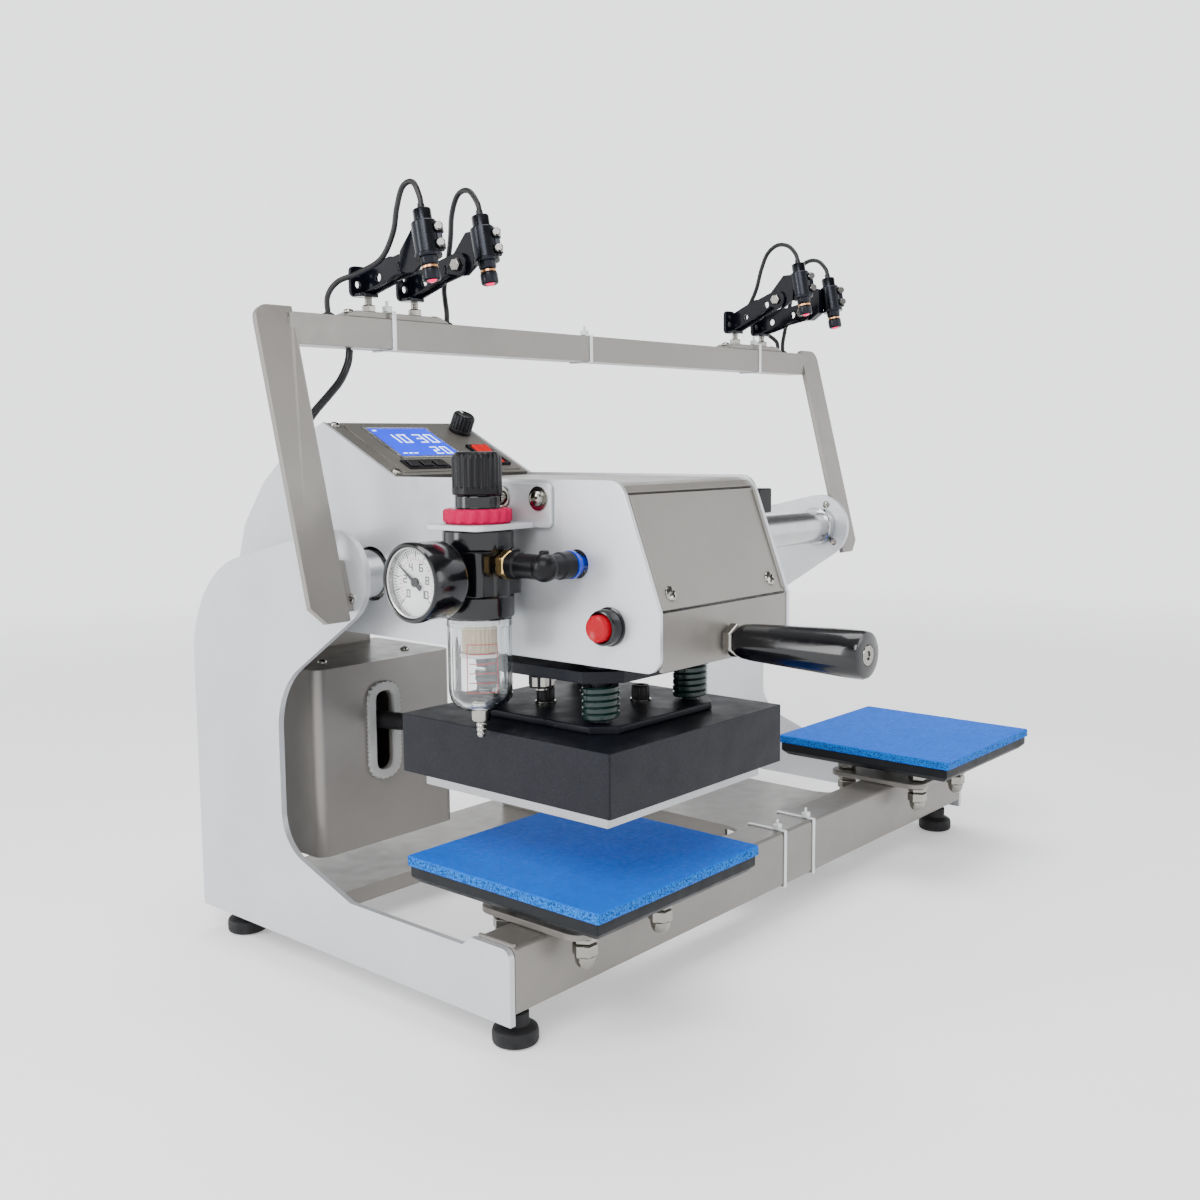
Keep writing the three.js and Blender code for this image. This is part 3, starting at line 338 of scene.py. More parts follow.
# finish: the record's material slot, if the CAD has it, and the Blender material
FINISHES = {
    "silver": ("silver_paint", painted("silver_powder_coat", (0.50, 0.512, 0.532), 0.36, 0.5, coat=0.1)),
    "grey": ("grey_paint", painted("grey_powder_coat", (0.195, 0.183, 0.168), 0.38, 0.4, coat=0.1)),
    "face": ("grey_paint", painted("control_face_grey", (0.17, 0.16, 0.145), 0.33, 0.6)),
    "hammer": ("charcoal_paint", textured("charcoal_hammered", (0.0022, 0.0027, 0.0055), 0.45)),
    "platen": ("charcoal_paint",
               painted("charcoal_platen", (0.004, 0.005, 0.007), 0.5, 0.1, grain=1500, shine=0.22)),
    "chrome": ("shaft_chrome", metal("hard_chrome", (0.46, 0.465, 0.47), 0.17, (0.05, 1, 1))),
    "nickel": ("zinc_steel", metal("dull_nickel", (0.12, 0.118, 0.112), 0.2)),
    "zinc": ("zinc_steel", metal("zinc_plate", (0.40, 0.40, 0.39), 0.28)),
    "bright": ("zinc_steel", metal("bright_nickel", (0.29, 0.28, 0.255), 0.16)),
    "alu": ("cast_aluminium", metal("milled_aluminium", (0.36, 0.366, 0.375), 0.3, (1, 0.04, 1))),
    "brass": (None, metal("brass", (0.62, 0.42, 0.17), 0.25)),
    "copper": (None, metal("copper_ring", (0.70, 0.34, 0.15), 0.25)),
    "rubber": ("black_rubber", plastic("black_rubber", (0.008, 0.008, 0.009), 0.65, 500, 0.00008)),
    "cable": ("black_rubber", plastic("cable_jacket", (0.007, 0.007, 0.008), 0.4)),
    "sleeve": ("black_rubber", plastic("braided_sleeve", (0.006, 0.006, 0.007), 0.5, 900, 0.0003)),
    "gloss": ("black_plastic", plastic("gloss_black_plastic", (0.002, 0.002, 0.003), 0.18, coat=0.3)),
    "satin": ("black_plastic", plastic("satin_black_plastic", (0.003, 0.003, 0.004), 0.34, shine=0.18)),
    "anodised": ("anodised_black", painted("black_anodised", (0.018, 0.019, 0.023), 0.24, 0.95)),
    "leaf": ("anodised_black",
             painted("black_bracket_paint", (0.002, 0.0025, 0.005), 0.2, 0.05, 300, 0.2, shine=0.12)),
    "red": ("red_plastic", plastic("red_button", (0.33, 0.0, 0.008), 0.25, coat=0.08, shine=0.12)),
    "orange_red": ("red_plastic", plastic("red_rocker", (0.42, 0.001, 0.001), 0.3, glow=0.2, shine=0.15)),
    "pink": ("red_plastic", plastic("pink_red_ring", (0.40, 0.0, 0.05), 0.4, shine=0.06)),
    "lens": (None, plastic("laser_lens", (0.90, 0.002, 0.10), 0.15, coat=0.5, glow=1.2)),
    "blue_collet": (None, plastic("blue_collet", (0.003, 0.03, 0.40), 0.3, coat=0.3)),
    "nylon": (None, plastic("nylon_tie", (0.62, 0.64, 0.64), 0.35)),
    "trim": (None, plastic("edge_trim", (0.30, 0.30, 0.29), 0.5)),
    "dial": ("gauge_case", plastic("dial_white", (0.86, 0.86, 0.85), 0.45)),
    "ink": (None, plastic("dial_ink", (0.008, 0.008, 0.012), 0.5)),
    "red_ink": (None, plastic("red_ink", (0.55, 0.004, 0.015), 0.5)),
    "filter": (None, plastic("filter_element", (0.55, 0.45, 0.31), 0.75, 400, 0.0002)),
    "lcd": (None, plastic("display_blue", (0.001, 0.03, 0.80), 0.12, coat=0.3, glow=0.9)),
    "digit": (None, plastic("display_digits", (0.65, 0.85, 1.0), 0.2, glow=1.4)),
    "spring": ("green_spring",
               painted("spring_green", (0.001, 0.014, 0.011), 0.22, 0.1, coat=0.3, shine=0.3)),
    "clear": ("clear_plastic", clear("clear_bowl", (0.95, 0.97, 0.98))),
    "glass": ("clear_plastic", clear("gauge_glass", (0.97, 0.98, 0.98), 0.01, 1.3)),
    "foam": ("blue_foam", foam()),
}


# ---------------------------------------------------------------- outlines and profiles

AXES = {
    "x": Matrix(((0, 0, 1), (1, 0, 0), (0, 1, 0))),
    "y": Matrix(((0, 1, 0), (0, 0, 1), (1, 0, 0))),
    "z": Matrix.Identity(3),
}


def arc(centre, radius, start, end, steps=12):
    """Points on a circle, angles in degrees."""
    turns = [math.radians(start + (end - start) * i / steps) for i in range(steps + 1)]
    return [(centre[0] + radius * math.cos(t), centre[1] + radius * math.sin(t)) for t in turns]


def rounded(corners, radius, steps=6):
    """A closed outline with every corner rounded by the same radius."""
    points = []
    for i, corner in enumerate(corners):
        here = Vector(corner)
        before = (Vector(corners[i - 1]) - here).normalized()
        after = (Vector(corners[(i + 1) % len(corners)]) - here).normalized()
        half = before.angle(after) / 2
        start = here + before * radius / math.tan(half)
        end = here + after * radius / math.tan(half)
        for k in range(steps + 1):
            t = k / steps
            points.append(tuple((1 - t) ** 2 * start + 2 * t * (1 - t) * here + t * t * end))
    return points


def rectangle(a0, a1, b0, b1, radius=0.0, steps=6):
    corners = [(a0, b0), (a1, b0), (a1, b1), (a0, b1)]
    return rounded(corners, radius, steps) if radius else corners


def divided(outline, step, count_of):
    """A closed outline with more points on its sides, about a step apart."""
    points = []
    for a, b in zip(outline, outline[1:] + outline[:1]):
        count = max(1, count_of(math.dist(a, b) / step))
        points += [Vector(a).lerp(Vector(b), k / count) for k in range(count)]
    return points


def rod(radius, low, high):
    """Profile of a plain rod."""
    return [(0, low), (radius, low), (radius, high), (0, high)]


def washer(inner, outer, low, high):
    """Closed profile of a plain ring."""
    return [(inner, low), (outer, low), (outer, high), (inner, high), (inner, low)]


def smooth_path(points, step=2.0):
    """Catmull-Rom points through a list of places, about a step apart."""
    places = [Vector(p) for p in points]
    ends = [2 * places[0] - places[1], *places, 2 * places[-1] - places[-2]]
    path = []
    for a, b, c, d in zip(ends, ends[1:], ends[2:], ends[3:]):
        count = max(1, round((c - b).length / step))
        for k in range(count):
            t = k / count
            path.append(0.5 * (2 * b + (c - a) * t + (2 * a - 5 * b + 4 * c - d) * t * t
                               + (3 * b - a - 3 * c + d) * t ** 3))
    return [*path, places[-1]]


# ---------------------------------------------------------------- solids

class Shape:
    """Collects closed solids, in millimetres, into one piece."""

    def __init__(self):
        self.bm = bmesh.new()

    def rings(self, rings, closed=False):
        """Joins rings of points. A ring of one point is a pole, and open ends are capped."""
        made = [[self.bm.verts.new(p) for p in ring] for ring in rings]
        pairs = list(zip(made, made[1:] + made[:1])) if closed else list(zip(made, made[1:]))
        for low, high in pairs:
            for i in range(max(len(low), len(high))):
                corners = [low[i % len(low)], low[(i + 1) % len(low)],
                           high[(i + 1) % len(high)], high[i % len(high)]]
                unique = list(dict.fromkeys(corners))
                if len(unique) > 2:
                    self.bm.faces.new(unique)
        if not closed:
            for ring in (made[0], made[-1]):
                if len(ring) > 2:
                    self.bm.faces.new(ring)
        return self

    def turned(self, profile, axis="z", centre=(0, 0, 0), segments=48, ripple=None):
        """Turns [radius, height] points. ripple is (count, depth, low, high): ribs between two heights."""
        turn, middle = AXES[axis], Vector(centre)
        closed = len(profile) > 2 and profile[0] == profile[-1]
        rings = []
        for radius, height in (profile[:-1] if closed else profile):
            if radius == 0:
                rings.append([turn @ Vector((0, 0, height)) + middle])
                continue
            ring = []
            for i in range(segments):
                angle = 2 * math.pi * i / segments
                r = radius
                if ripple and ripple[2] <= height <= ripple[3]:
                    r += ripple[1] * max(-0.6, min(0.6, math.cos(ripple[0] * angle)))
                ring.append(turn @ Vector((r * math.cos(angle), r * math.sin(angle), height)) + middle)
            rings.append(ring)
        return self.rings(rings, closed)

    def hexagon(self, radius, low, high, axis="z", centre=(0, 0, 0)):
        """A hex nut or head, with its corners chamfered."""
        cut = radius * 0.12
        profile = [(0, low), (radius * 0.88, low), (radius, low + cut), (radius, high - cut),
                   (radius * 0.88, high), (0, high)]
        return self.turned(profile, axis, centre, 6)

    def slab(self, outline, plane, low, high):
        """Extrudes an outline: 'side' reads it as (Y, Z), 'front' as (X, Z) and 'top' as (X, Y)."""
        lift = {
            "side": lambda a, b, h: (h, a, b),
            "front": lambda a, b, h: (a, h, b),
            "top": lambda a, b, h: (a, b, h),
        }
        return self.rings([[lift[plane](a, b, h) for a, b in outline] for h in (low, high)])

    def box(self, low, high):
        (x0, y0, z0), (x1, y1, z1) = low, high
        return self.slab(rectangle(x0, x1, y0, y1), "top", z0, z1)

    def border(self, x0, x1, y0, y1, width, low, high):
        """Four bars just inside a rectangle's edge."""
        bars = ((x0, x1, y1 - width, y1), (x0, x1, y0, y0 + width),
                (x0, x0 + width, y0, y1), (x1 - width, x1, y0, y1))
        for a0, a1, b0, b1 in bars:
            self.box((a0, b0, low), (a1, b1, high))
        return self

    def tube(self, path, radius, sides=12):
        """Sweeps a round along a path without twisting it. radius may be a function of the step."""
        path = [Vector(p) for p in path]
        turns = [2 * math.pi * k / sides for k in range(sides)]
        outline = [(math.cos(turn), math.sin(turn)) for turn in turns]
        last = len(path) - 1
        tangents = [(path[min(i + 1, last)] - path[max(i - 1, 0)]).normalized() for i in range(last + 1)]
        side = tangents[0].orthogonal().normalized()
        rings = []
        for i, (place, ahead) in enumerate(zip(path, tangents)):
            side = (side - side.dot(ahead) * ahead).normalized()
            up = ahead.cross(side)
            r = radius(i) if callable(radius) else radius
            rings.append([place + (side * a + up * b) * r for a, b in outline])
        return self.rings(rings)

    def coil(self, centre, inner, outer, low, high, turns, wire):
        """A die spring of flat wire."""
        section = [(inner, -0.36), (inner + 0.5, -0.5), (outer - 0.6, -0.5), (outer, -0.3),
                   (outer, 0.3), (outer - 0.6, 0.5), (inner + 0.5, 0.5), (inner, 0.36)]
        total = int(turns * 28)
        rings = []
        for i in range(total + 1):
            angle = 2 * math.pi * turns * i / total
            across = Vector((math.cos(angle), math.sin(angle), 0))
            middle = Vector((*centre, low + wire / 2 + (high - low - wire) * i / total))
            rings.append([middle + across * r + Vector((0, 0, h * wire)) for r, h in section])
        return self.rings(rings)

    def mesh(self, name, matrix=TO_FRAME):
        bmesh.ops.recalc_face_normals(self.bm, faces=self.bm.faces)
        mesh = bpy.data.meshes.new(name)
        self.bm.to_mesh(mesh)
        self.bm.free()
        mesh.transform(matrix)
        return mesh


def smooth(mesh, angle=32):
    for polygon in mesh.polygons:
        polygon.use_smooth = True
    mesh.set_sharp_from_angle(angle=math.radians(angle))


def soften(obj, bevel, angle=32):
    """Smooth shading with crisp edges, and a small real round on every edge."""
    smooth(obj.data, angle)
    if bevel:
        modifier = obj.modifiers.new("edge_round", "BEVEL")
        modifier.width = bevel * MM
        modifier.segments = 2
        modifier.limit_method = "ANGLE"
        modifier.angle_limit = math.radians(angle)
        flat = obj.modifiers.new("flat_faces", "WEIGHTED_NORMAL")
        flat.keep_sharp = True


def add(name, shape, finish, body, bevel=0.0, replaces=(), matrix=TO_FRAME, holes=()):
    """Makes a piece from a Shape and lets it ride on a body. A piece without a body is left unattached."""
    obj = new_object(name, shape.mesh(name, matrix))
    slot, material = FINISHES[finish]
    obj.data.materials.append(material)
    for cutter in holes:
        drill(obj, cutter, matrix)
    soften(obj, bevel)
    if body:
        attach(obj, body)
    for node in replaces:
        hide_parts(node)
    return obj


def drill(obj, cutter, matrix=TO_FRAME):
    """Cuts a Shape out of obj's mesh."""
    tool = new_object("cutter", cutter.mesh("cutter", matrix))
    modifier = obj.modifiers.new("cut", "BOOLEAN")
    modifier.object = tool
    modifier.operation = "DIFFERENCE"
    bpy.context.view_layer.update()
    evaluated = obj.evaluated_get(bpy.context.evaluated_depsgraph_get())
    cut = bpy.data.meshes.new_from_object(evaluated)
    obj.modifiers.remove(modifier)
    obj.data = cut
    bpy.data.objects.remove(tool)


def dress(node, finish, bevel=0.5, angle=32):
    """Keeps a CAD node and gives it a finish and rounded edges."""
    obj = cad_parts[node]
    obj.data.materials.clear()
    obj.data.materials.append(FINISHES[finish][1])
    weld = obj.modifiers.new("weld", "WELD")
    weld.merge_threshold = 0.00001
    soften(obj, bevel, angle)


# ---------------------------------------------------------------- shared hardware

def screw_mesh(name, radius, height, washer_radius=0.0):
    """A pan-head screw with a cross recess, standing on z = 0, in millimetres."""
    profile = [(0, 0), (radius, 0), (radius, height * 0.35), (radius * 0.86, height * 0.75),
               (radius * 0.5, height * 0.95), (0, height)]
    head = new_object(name, Shape().turned(profile, segments=32).mesh(name, UNMOVED))
    arm, slot, floor = radius * 0.6, radius * 0.17, height * 0.3
    for x, y in ((arm, slot), (slot, arm)):
        drill(head, Shape().box((-x, -y, floor), (x, y, height * 2)), UNMOVED)
    mesh = head.data
    bpy.data.objects.remove(head)
    if washer_radius:
        ring = Shape().turned(washer(radius * 0.4, washer_radius, 0, 0.9))
        joined = bmesh.new()
        joined.from_mesh(mesh)
        bmesh.ops.translate(joined, verts=joined.verts, vec=(0, 0, 0.8))
        joined.from_mesh(ring.mesh("ring", UNMOVED))
        joined.to_mesh(mesh)
        joined.free()
    smooth(mesh)
    mesh.materials.append(FINISHES["bright"][1])
    return mesh


SMALL_SCREW = screw_mesh("small_screw", 3.3, 2.2)
COVER_SCREW = screw_mesh("cover_screw", 4.4, 2.9)
BRACKET_SCREW = screw_mesh("bracket_screw", 4.4, 3.4, 6.6)


def facing(place, direction, spin=0.0):
    """Where a screw goes that stands on a surface and faces along direction."""
    turn = Vector(direction).to_track_quat("Z", "Y").to_matrix().to_4x4()
    return TO_FRAME @ Matrix.Translation(place) @ turn @ Matrix.Rotation(math.radians(spin), 4, "Z")


def screw(name, mesh, matrix, body):
    obj = new_object(name, mesh)
    obj.matrix_world = matrix
    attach(obj, body)


def zip_tie(name, x, low, high):
    """A nylon tie round a beam that runs along X. low and high are the beam's (Y, Z) corners."""
    (y0, z0), (y1, z1) = low, high
    thick, width = 0.9, 3.2
    band = Shape()
    band.box((x, y0 - thick, z0 - thick), (x + width, y0, z1 + thick))
    band.box((x, y1, z0 - thick), (x + width, y1 + thick, z1 + thick))
    band.box((x, y0, z0 - thick), (x + width, y1, z0))
    band.box((x, y0, z1), (x + width, y1, z1 + thick))
    band.box((x - 0.9, y0 + 4, z1 + thick), (x + width + 0.9, y0 + 8.6, z1 + thick + 3.6))
    band.box((x + 0.4, y0 + 6, z1 + thick + 3.6), (x + width - 0.4, y0 + 7, z1 + thick + 7))
    add(name, band, "nylon", "root", 0.35)


# ---------------------------------------------------------------- base frame

def make_base_frame():
    sheets = {"left_side_plate": ("silver", 0.7), "right_side_plate": ("silver", 0.7),
              "front_beam": ("grey", 0.5), "spine_plate": ("grey", 0.7), "rear_base_plate": ("grey", 0.6)}
    for node, (finish, bevel) in sheets.items():
        dress(node, finish, bevel)
    for side, name in ((-1, "left"), (1, "right")):
        for y, z in ((-7, 279), (-15, 245)):
            place = facing((side * PLATE_INNER, y, z), (-side, 0, 0), 35)
            screw(f"shaft_socket_{name}_{z}", SMALL_SCREW, place, "root")
        for y, z in ((-15, 247), (14, 271)):
            place = facing((side * PLATE_OUTER, y, z), (side, 0, 0), 20)
            screw(f"shaft_screw_{name}_{y}", SMALL_SCREW, place, "root")
        for y, row, top in ((-128, "front", 23.7), (135, "rear", 27.0)):
            make_foot(f"foot_{row}_{name}", (side * 262, y, 0), top)
        weld_bead(f"beam_weld_{name}", side * 276.2)
    make_shafts()
    for name, x in (("left", -6), ("right", 32)):
        zip_tie(f"beam_tie_{name}", x, (-143.5, 24), (-113.5, 63.5))


def make_foot(node, centre, top):
    profile = [(0, 0), (11.6, 0), (13, 0.7), (13.5, 2.2), (13.5, 6.8), (12.9, 8.8), (10.6, 10.4), (8.4, 11.2),
               (8, 12.6), (8, top - 5.6), (7.4, top - 5), (4, top - 5), (4, top), (0, top)]
    foot = Shape().turned(profile, centre=centre, segments=56)
    add(f"{node}_rubber", foot, "rubber", "root", 0.3, [node])


def make_shafts():
    """The slide shaft with a collar at each end, and the plain guide shaft."""
    span, collar = 276.7, 9
    half = [(0, span), (16.4, span), (17, span - 0.8), (17, span - collar + 0.8), (16.4, span - collar),
            (15, span - collar)]
    profile = [(radius, -x) for radius, x in half] + half[::-1]
    slide = Shape().turned(profile, "x", (0, 0, SHAFT_Z), 72)
    add("slide_shaft_polished", slide, "chrome", "root", 0, ["slide_shaft"])
    guide = Shape().turned(rod(10, -span, span), "x", (0, GUIDE_Y, GUIDE_Z), 56)
    add("guide_shaft_polished", guide, "chrome", "root", 0.3, ["rear_guide_shaft"])


def weld_bead(name, x):
    """A rippled bead where the beam meets a side plate."""
    path = smooth_path([(x, -142 + 3 * k, 63.7) for k in range(10)], 1)
    bead = Shape().tube(path, lambda i: 1.3 + 0.18 * math.sin(i * 2.1), 10)
    add(name, bead, "grey", "root")


# ---------------------------------------------------------------- work stations

def make_station(side, name):
    centre = side * STATION_X
    plate = Shape().slab(rectangle(centre - 50.5, centre + 50.5, -168, -86, 12), "top", 63.8, 67.8)
    add(f"{name}_bracket_plate", plate, "grey", "root", 0.5, [f"{name}_platen_bracket"])
    for row, y in (("front", -158.5), ("rear", -95)):
        for way, sign in (("left", -1), ("right", 1)):
            stud = bracket_stud((centre + sign * 34.5, y, 0))
            add(f"{name}_bracket_stud_{row}_{way}", stud, "bright", "root", 0.2)
    dress(f"{name}_platen", "platen", 0.6)
    make_pad(centre, name)


def bracket_stud(middle):
    """Threaded stud with its washer, three nuts and a domed cap."""
    stud = Shape()
    ring = [(4, 62.3), (8.4, 62.3), (8.6, 62.6), (8.6, 63.6), (4, 63.6), (4, 62.3)]
    stud.turned(ring, centre=middle, segments=40)
    for low, high in ((58.6, 62.2), (50.6, 58.2), (67.9, 73.4)):
        stud.hexagon(7.5, low, high, centre=middle)
    dome = [(0, 42.7), (2.2, 43.0), (4.3, 44.4), (5.6, 46.6), (6.1, 49), (6.2, 50.7), (0, 50.7)]
    stud.turned(dome, centre=middle, segments=40)
    threads = [(4.0 - 0.35 * (k % 2), 73.2 + 0.6 * k) for k in range(12)]
    return stud.turned([(0, 58.7), (3.9, 58.7), *threads, (0, 79.8)], centre=middle, segments=32)


def make_pad(centre, name):
    """A foam sheet whose cut edges are slightly ragged."""
    half, low, high = 75.0, 90.6, 96.6
    outline = rectangle(centre - half, centre + half, WORK_Y - half, WORK_Y + half, 2.0)
    fine = divided(outline, 1.6, int)
    middle = Vector((centre, WORK_Y))
    rings = []
    for z, inset in ((low, 0.5), (low + 0.7, 0.15), (93.6, 0.2), (high - 0.7, 0.15), (high, 0.7)):
        ring = []
        for point in fine:
            shrink = (half - inset - random.uniform(0, 0.35)) / half
            place = middle + (point - middle) * shrink
            ring.append((place.x, place.y, z + (random.uniform(-0.12, 0) if z == high else 0)))
        rings.append(ring)
    rings.append([tuple(middle + (Vector(p[:2]) - middle) * 0.985) + (high,) for p in rings[-1]])
    pad = add(f"{name}_foam_pad", Shape().rings(rings), "foam", "root", 0, [f"{name}_pad"])


# ---------------------------------------------------------------- laser frame

LEAD_ROUTES = {
    "left_outer": [
        (-227, -24.3, 479.5), (-227, -22.9, 487), (-227.5, -17.5, 496), (-229, -10, 494), (-230.5, -6, 482),
        (-231.5, -3, 467), (-234, 6, 452), (-241, 20, 444), (-249, 30, 439), (-254, 34, 430),
        (-254, 34, 418.3)],
    "left_inner": [
        (-178, -24.3, 481.5), (-178, -22.5, 489), (-177.5, -14, 498), (-176.5, -3, 497), (-175.5, 4, 486),
        (-174.5, 7, 470), (-172, 13, 454), (-166, 23, 442), (-158, 31, 434), (-155, 33, 427),
        (-155, 33, 418.3)],
    "right_inner": [
        (197, -24.3, 487.5), (197, -22.3, 495), (198, -14, 503), (199.5, -2, 505), (201, 9, 499),
        (202, 16, 486), (203.5, 22, 470), (207, 32, 456), (215, 42, 448), (228, 45.5, 443),
        (243, 42.5, 438), (255, 36, 430), (257, 34, 425), (257, 34, 418.3)],
    "right_outer": [
        (246, -24.3, 479.5), (246, -22.5, 487), (247, -14, 495), (248, -3, 496), (249, 7, 490),
        (251.5, 14, 477), (255.5, 20, 461), (259.5, 26, 446), (263, 31, 434), (264, 33, 427),
        (264, 33, 418.3)],
}

SUPPLY_ROUTE = [
    (-238, 34, 398.4), (-239.5, 34, 390), (-246, 33.5, 379), (-257, 32, 369), (-270, 29, 359),
    (-282, 25, 348), (-290, 19.5, 335), (-293.5, 14.5, 321), (-294.5, 11, 308), (-294, 9.5, 297),
    (-291.5, 8.5, 287.5), (-287.5, 8, 282), (-284, 7.8, 280.2), (-282.2, 7.8, 280)]


def make_laser_frame():
    dress("laser_frame", "grey", 0.6)
    for name, x, top in (("left", -211, 4.4), ("middle", -18, 0), ("right", 211, 4.4)):
        zip_tie(f"bar_tie_{name}", x, (24, 399), (44, BAR_TOP + top))
    for side, name in ((-1, "left"), (1, "right")):
        ends = sorted((side * 289.5, side * 286))
        cap = Shape().slab(rectangle(25.7, 42.3, 400.7, 416.3, 1.5), "side", *ends)
        add(f"bar_cap_{name}", cap, "rubber", "root", 0.3)
    for k, offset in enumerate((-1.75, 1.75)):
        path = [p + Vector((0.25, 0.9, 0.35)) * offset for p in smooth_path(SUPPLY_ROUTE, 3)]
        replaced = ["laser_supply_cable"] if k == 0 else []
        add(f"laser_supply_{k + 1}", Shape().tube(path, 1.7, 14), "cable", "root", 0, replaced)
    grommet = Shape().turned(washer(3.2, 4.9, -1.2, 0.1), "x", (-PLATE_OUTER, 7.8, 280), 32)
    add("supply_grommet", grommet, "rubber", "root", 0.2)
    for side in ("left", "right"):
        pair = [name for name in LASERS if name.startswith(side)]
        make_laser_base(side, *pair)
        for name in pair:
            make_laser_post(name, LASERS[name])
            make_laser_head(name, LASERS[name])
            make_laser_lead(name, LEAD_ROUTES[name])


def make_laser_base(name, first, second):
    middle = (LASERS[first]["post"] + LASERS[second]["post"]) / 2
    low = BAR_TOP + 0.3
    edge = [(43, low), (42, low + 1.2), (35, low + 4)]
    outline = [(middle - x, z) for x, z in edge] + [(middle + x, z) for x, z in reversed(edge)]
    strip = Shape().slab(outline, "front", 27, 42)
    add(f"laser_strip_{name}", strip, "grey", "root", 0.4, [f"laser_base_{name}"])
    for k, x in enumerate((middle - 36, middle + 36)):
        place = facing((x, 34.5, low + 3.2), (0, 0, 1), 30 * k)
        screw(f"strip_screw_{name}_{k + 1}", SMALL_SCREW, place, "root")


def strap_outline(start, end, radius):
    """A round-ended strap between two (Y, Z) places."""
    along = Vector(end) - Vector(start)
    angle = math.degrees(math.atan2(along.y, along.x))
    return [*arc(end, radius, angle - 90, angle + 90), *arc(start, radius, angle + 90, angle + 270)]


def make_laser_post(name, laser):
    """Threaded post with its nut and washer, and the black bracket that reaches the laser's pivot."""
    post, pivot, thick = laser["post"], laser["tip"] + 14, 1.25
    base = (post, POST_Y, 0)
    threads = [(2.5 - 0.25 * (k % 2), 422 + 0.5 * k) for k in range(24)]
    stem = Shape().turned([(0, 421), *threads, (0, 434)], centre=base, segments=24)
    stem.hexagon(4.7, 422.3, 427, centre=base)
    stem.turned(washer(2.3, 5.6, 421.4, 422.3), centre=base, segments=32)
    add(f"laser_post_{name}", stem, "bright", "root", 0.15)
    wing = Shape().slab(rectangle(post - 13, post + thick, 431.5, 451, 4.5), "front", 36, 38.5)
    wing_holes = [Shape().turned(rod(radius, 30, 45), "y", (post - 7, 0, z), 24)
                  for radius, z in ((1.5, 446), (2.2, 439.5))]
    add(f"laser_wing_{name}", wing, "leaf", "root", 0.3, holes=wing_holes)
    shelf = Shape().slab(rectangle(post - 11, post + 4, 28, 38, 3), "top", 431.6, 433.8)
    add(f"laser_shelf_{name}", shelf, "leaf", "root", 0.3)
    knee = (12.0, (pivot + 441) / 2 + 1)
    straps = (("rear", (33, 441), knee, 9.0, 0.0, (0.45, 0.9)),
              ("front", knee, (PIVOT_Y, pivot), 7.8, -0.2, (0.5, 1.0)))
    for part, start, end, radius, shift, hole_places in straps:
        strap = Shape().slab(strap_outline(start, end, radius), "side", post - thick + shift, post + thick)
        centres = [Vector(start).lerp(Vector(end), t) for t in hole_places]
        holes = [Shape().turned(rod(2.7, post - 5, post + 5), "x", (0, c.x, c.y), 24) for c in centres]
        add(f"laser_strap_{part}_{name}", strap, "leaf", "root", 0.35, holes=holes)
    lip = Shape()
    lower = [(34, 433), (12, knee[1] - 8), (-4, pivot - 7.2)]
    for (y0, z0), (y1, z1) in zip(lower, lower[1:]):
        lip.slab([(y0, z0), (y1, z1), (y1, z1 + 1.6), (y0, z0 + 1.6)], "side", post - thick - 4.5, post)
    add(f"laser_lip_{name}", lip, "leaf", "root", 0.3)
    head = [(0, post + 1.4), (4.2, post + 1.4), (4.2, post + 5.4), (3.4, post + 6.4), (0, post + 6.4)]
    add(f"laser_knee_bolt_{name}", Shape().turned(head, "x", (0, *knee), 24), "bright", "root", 0.2)


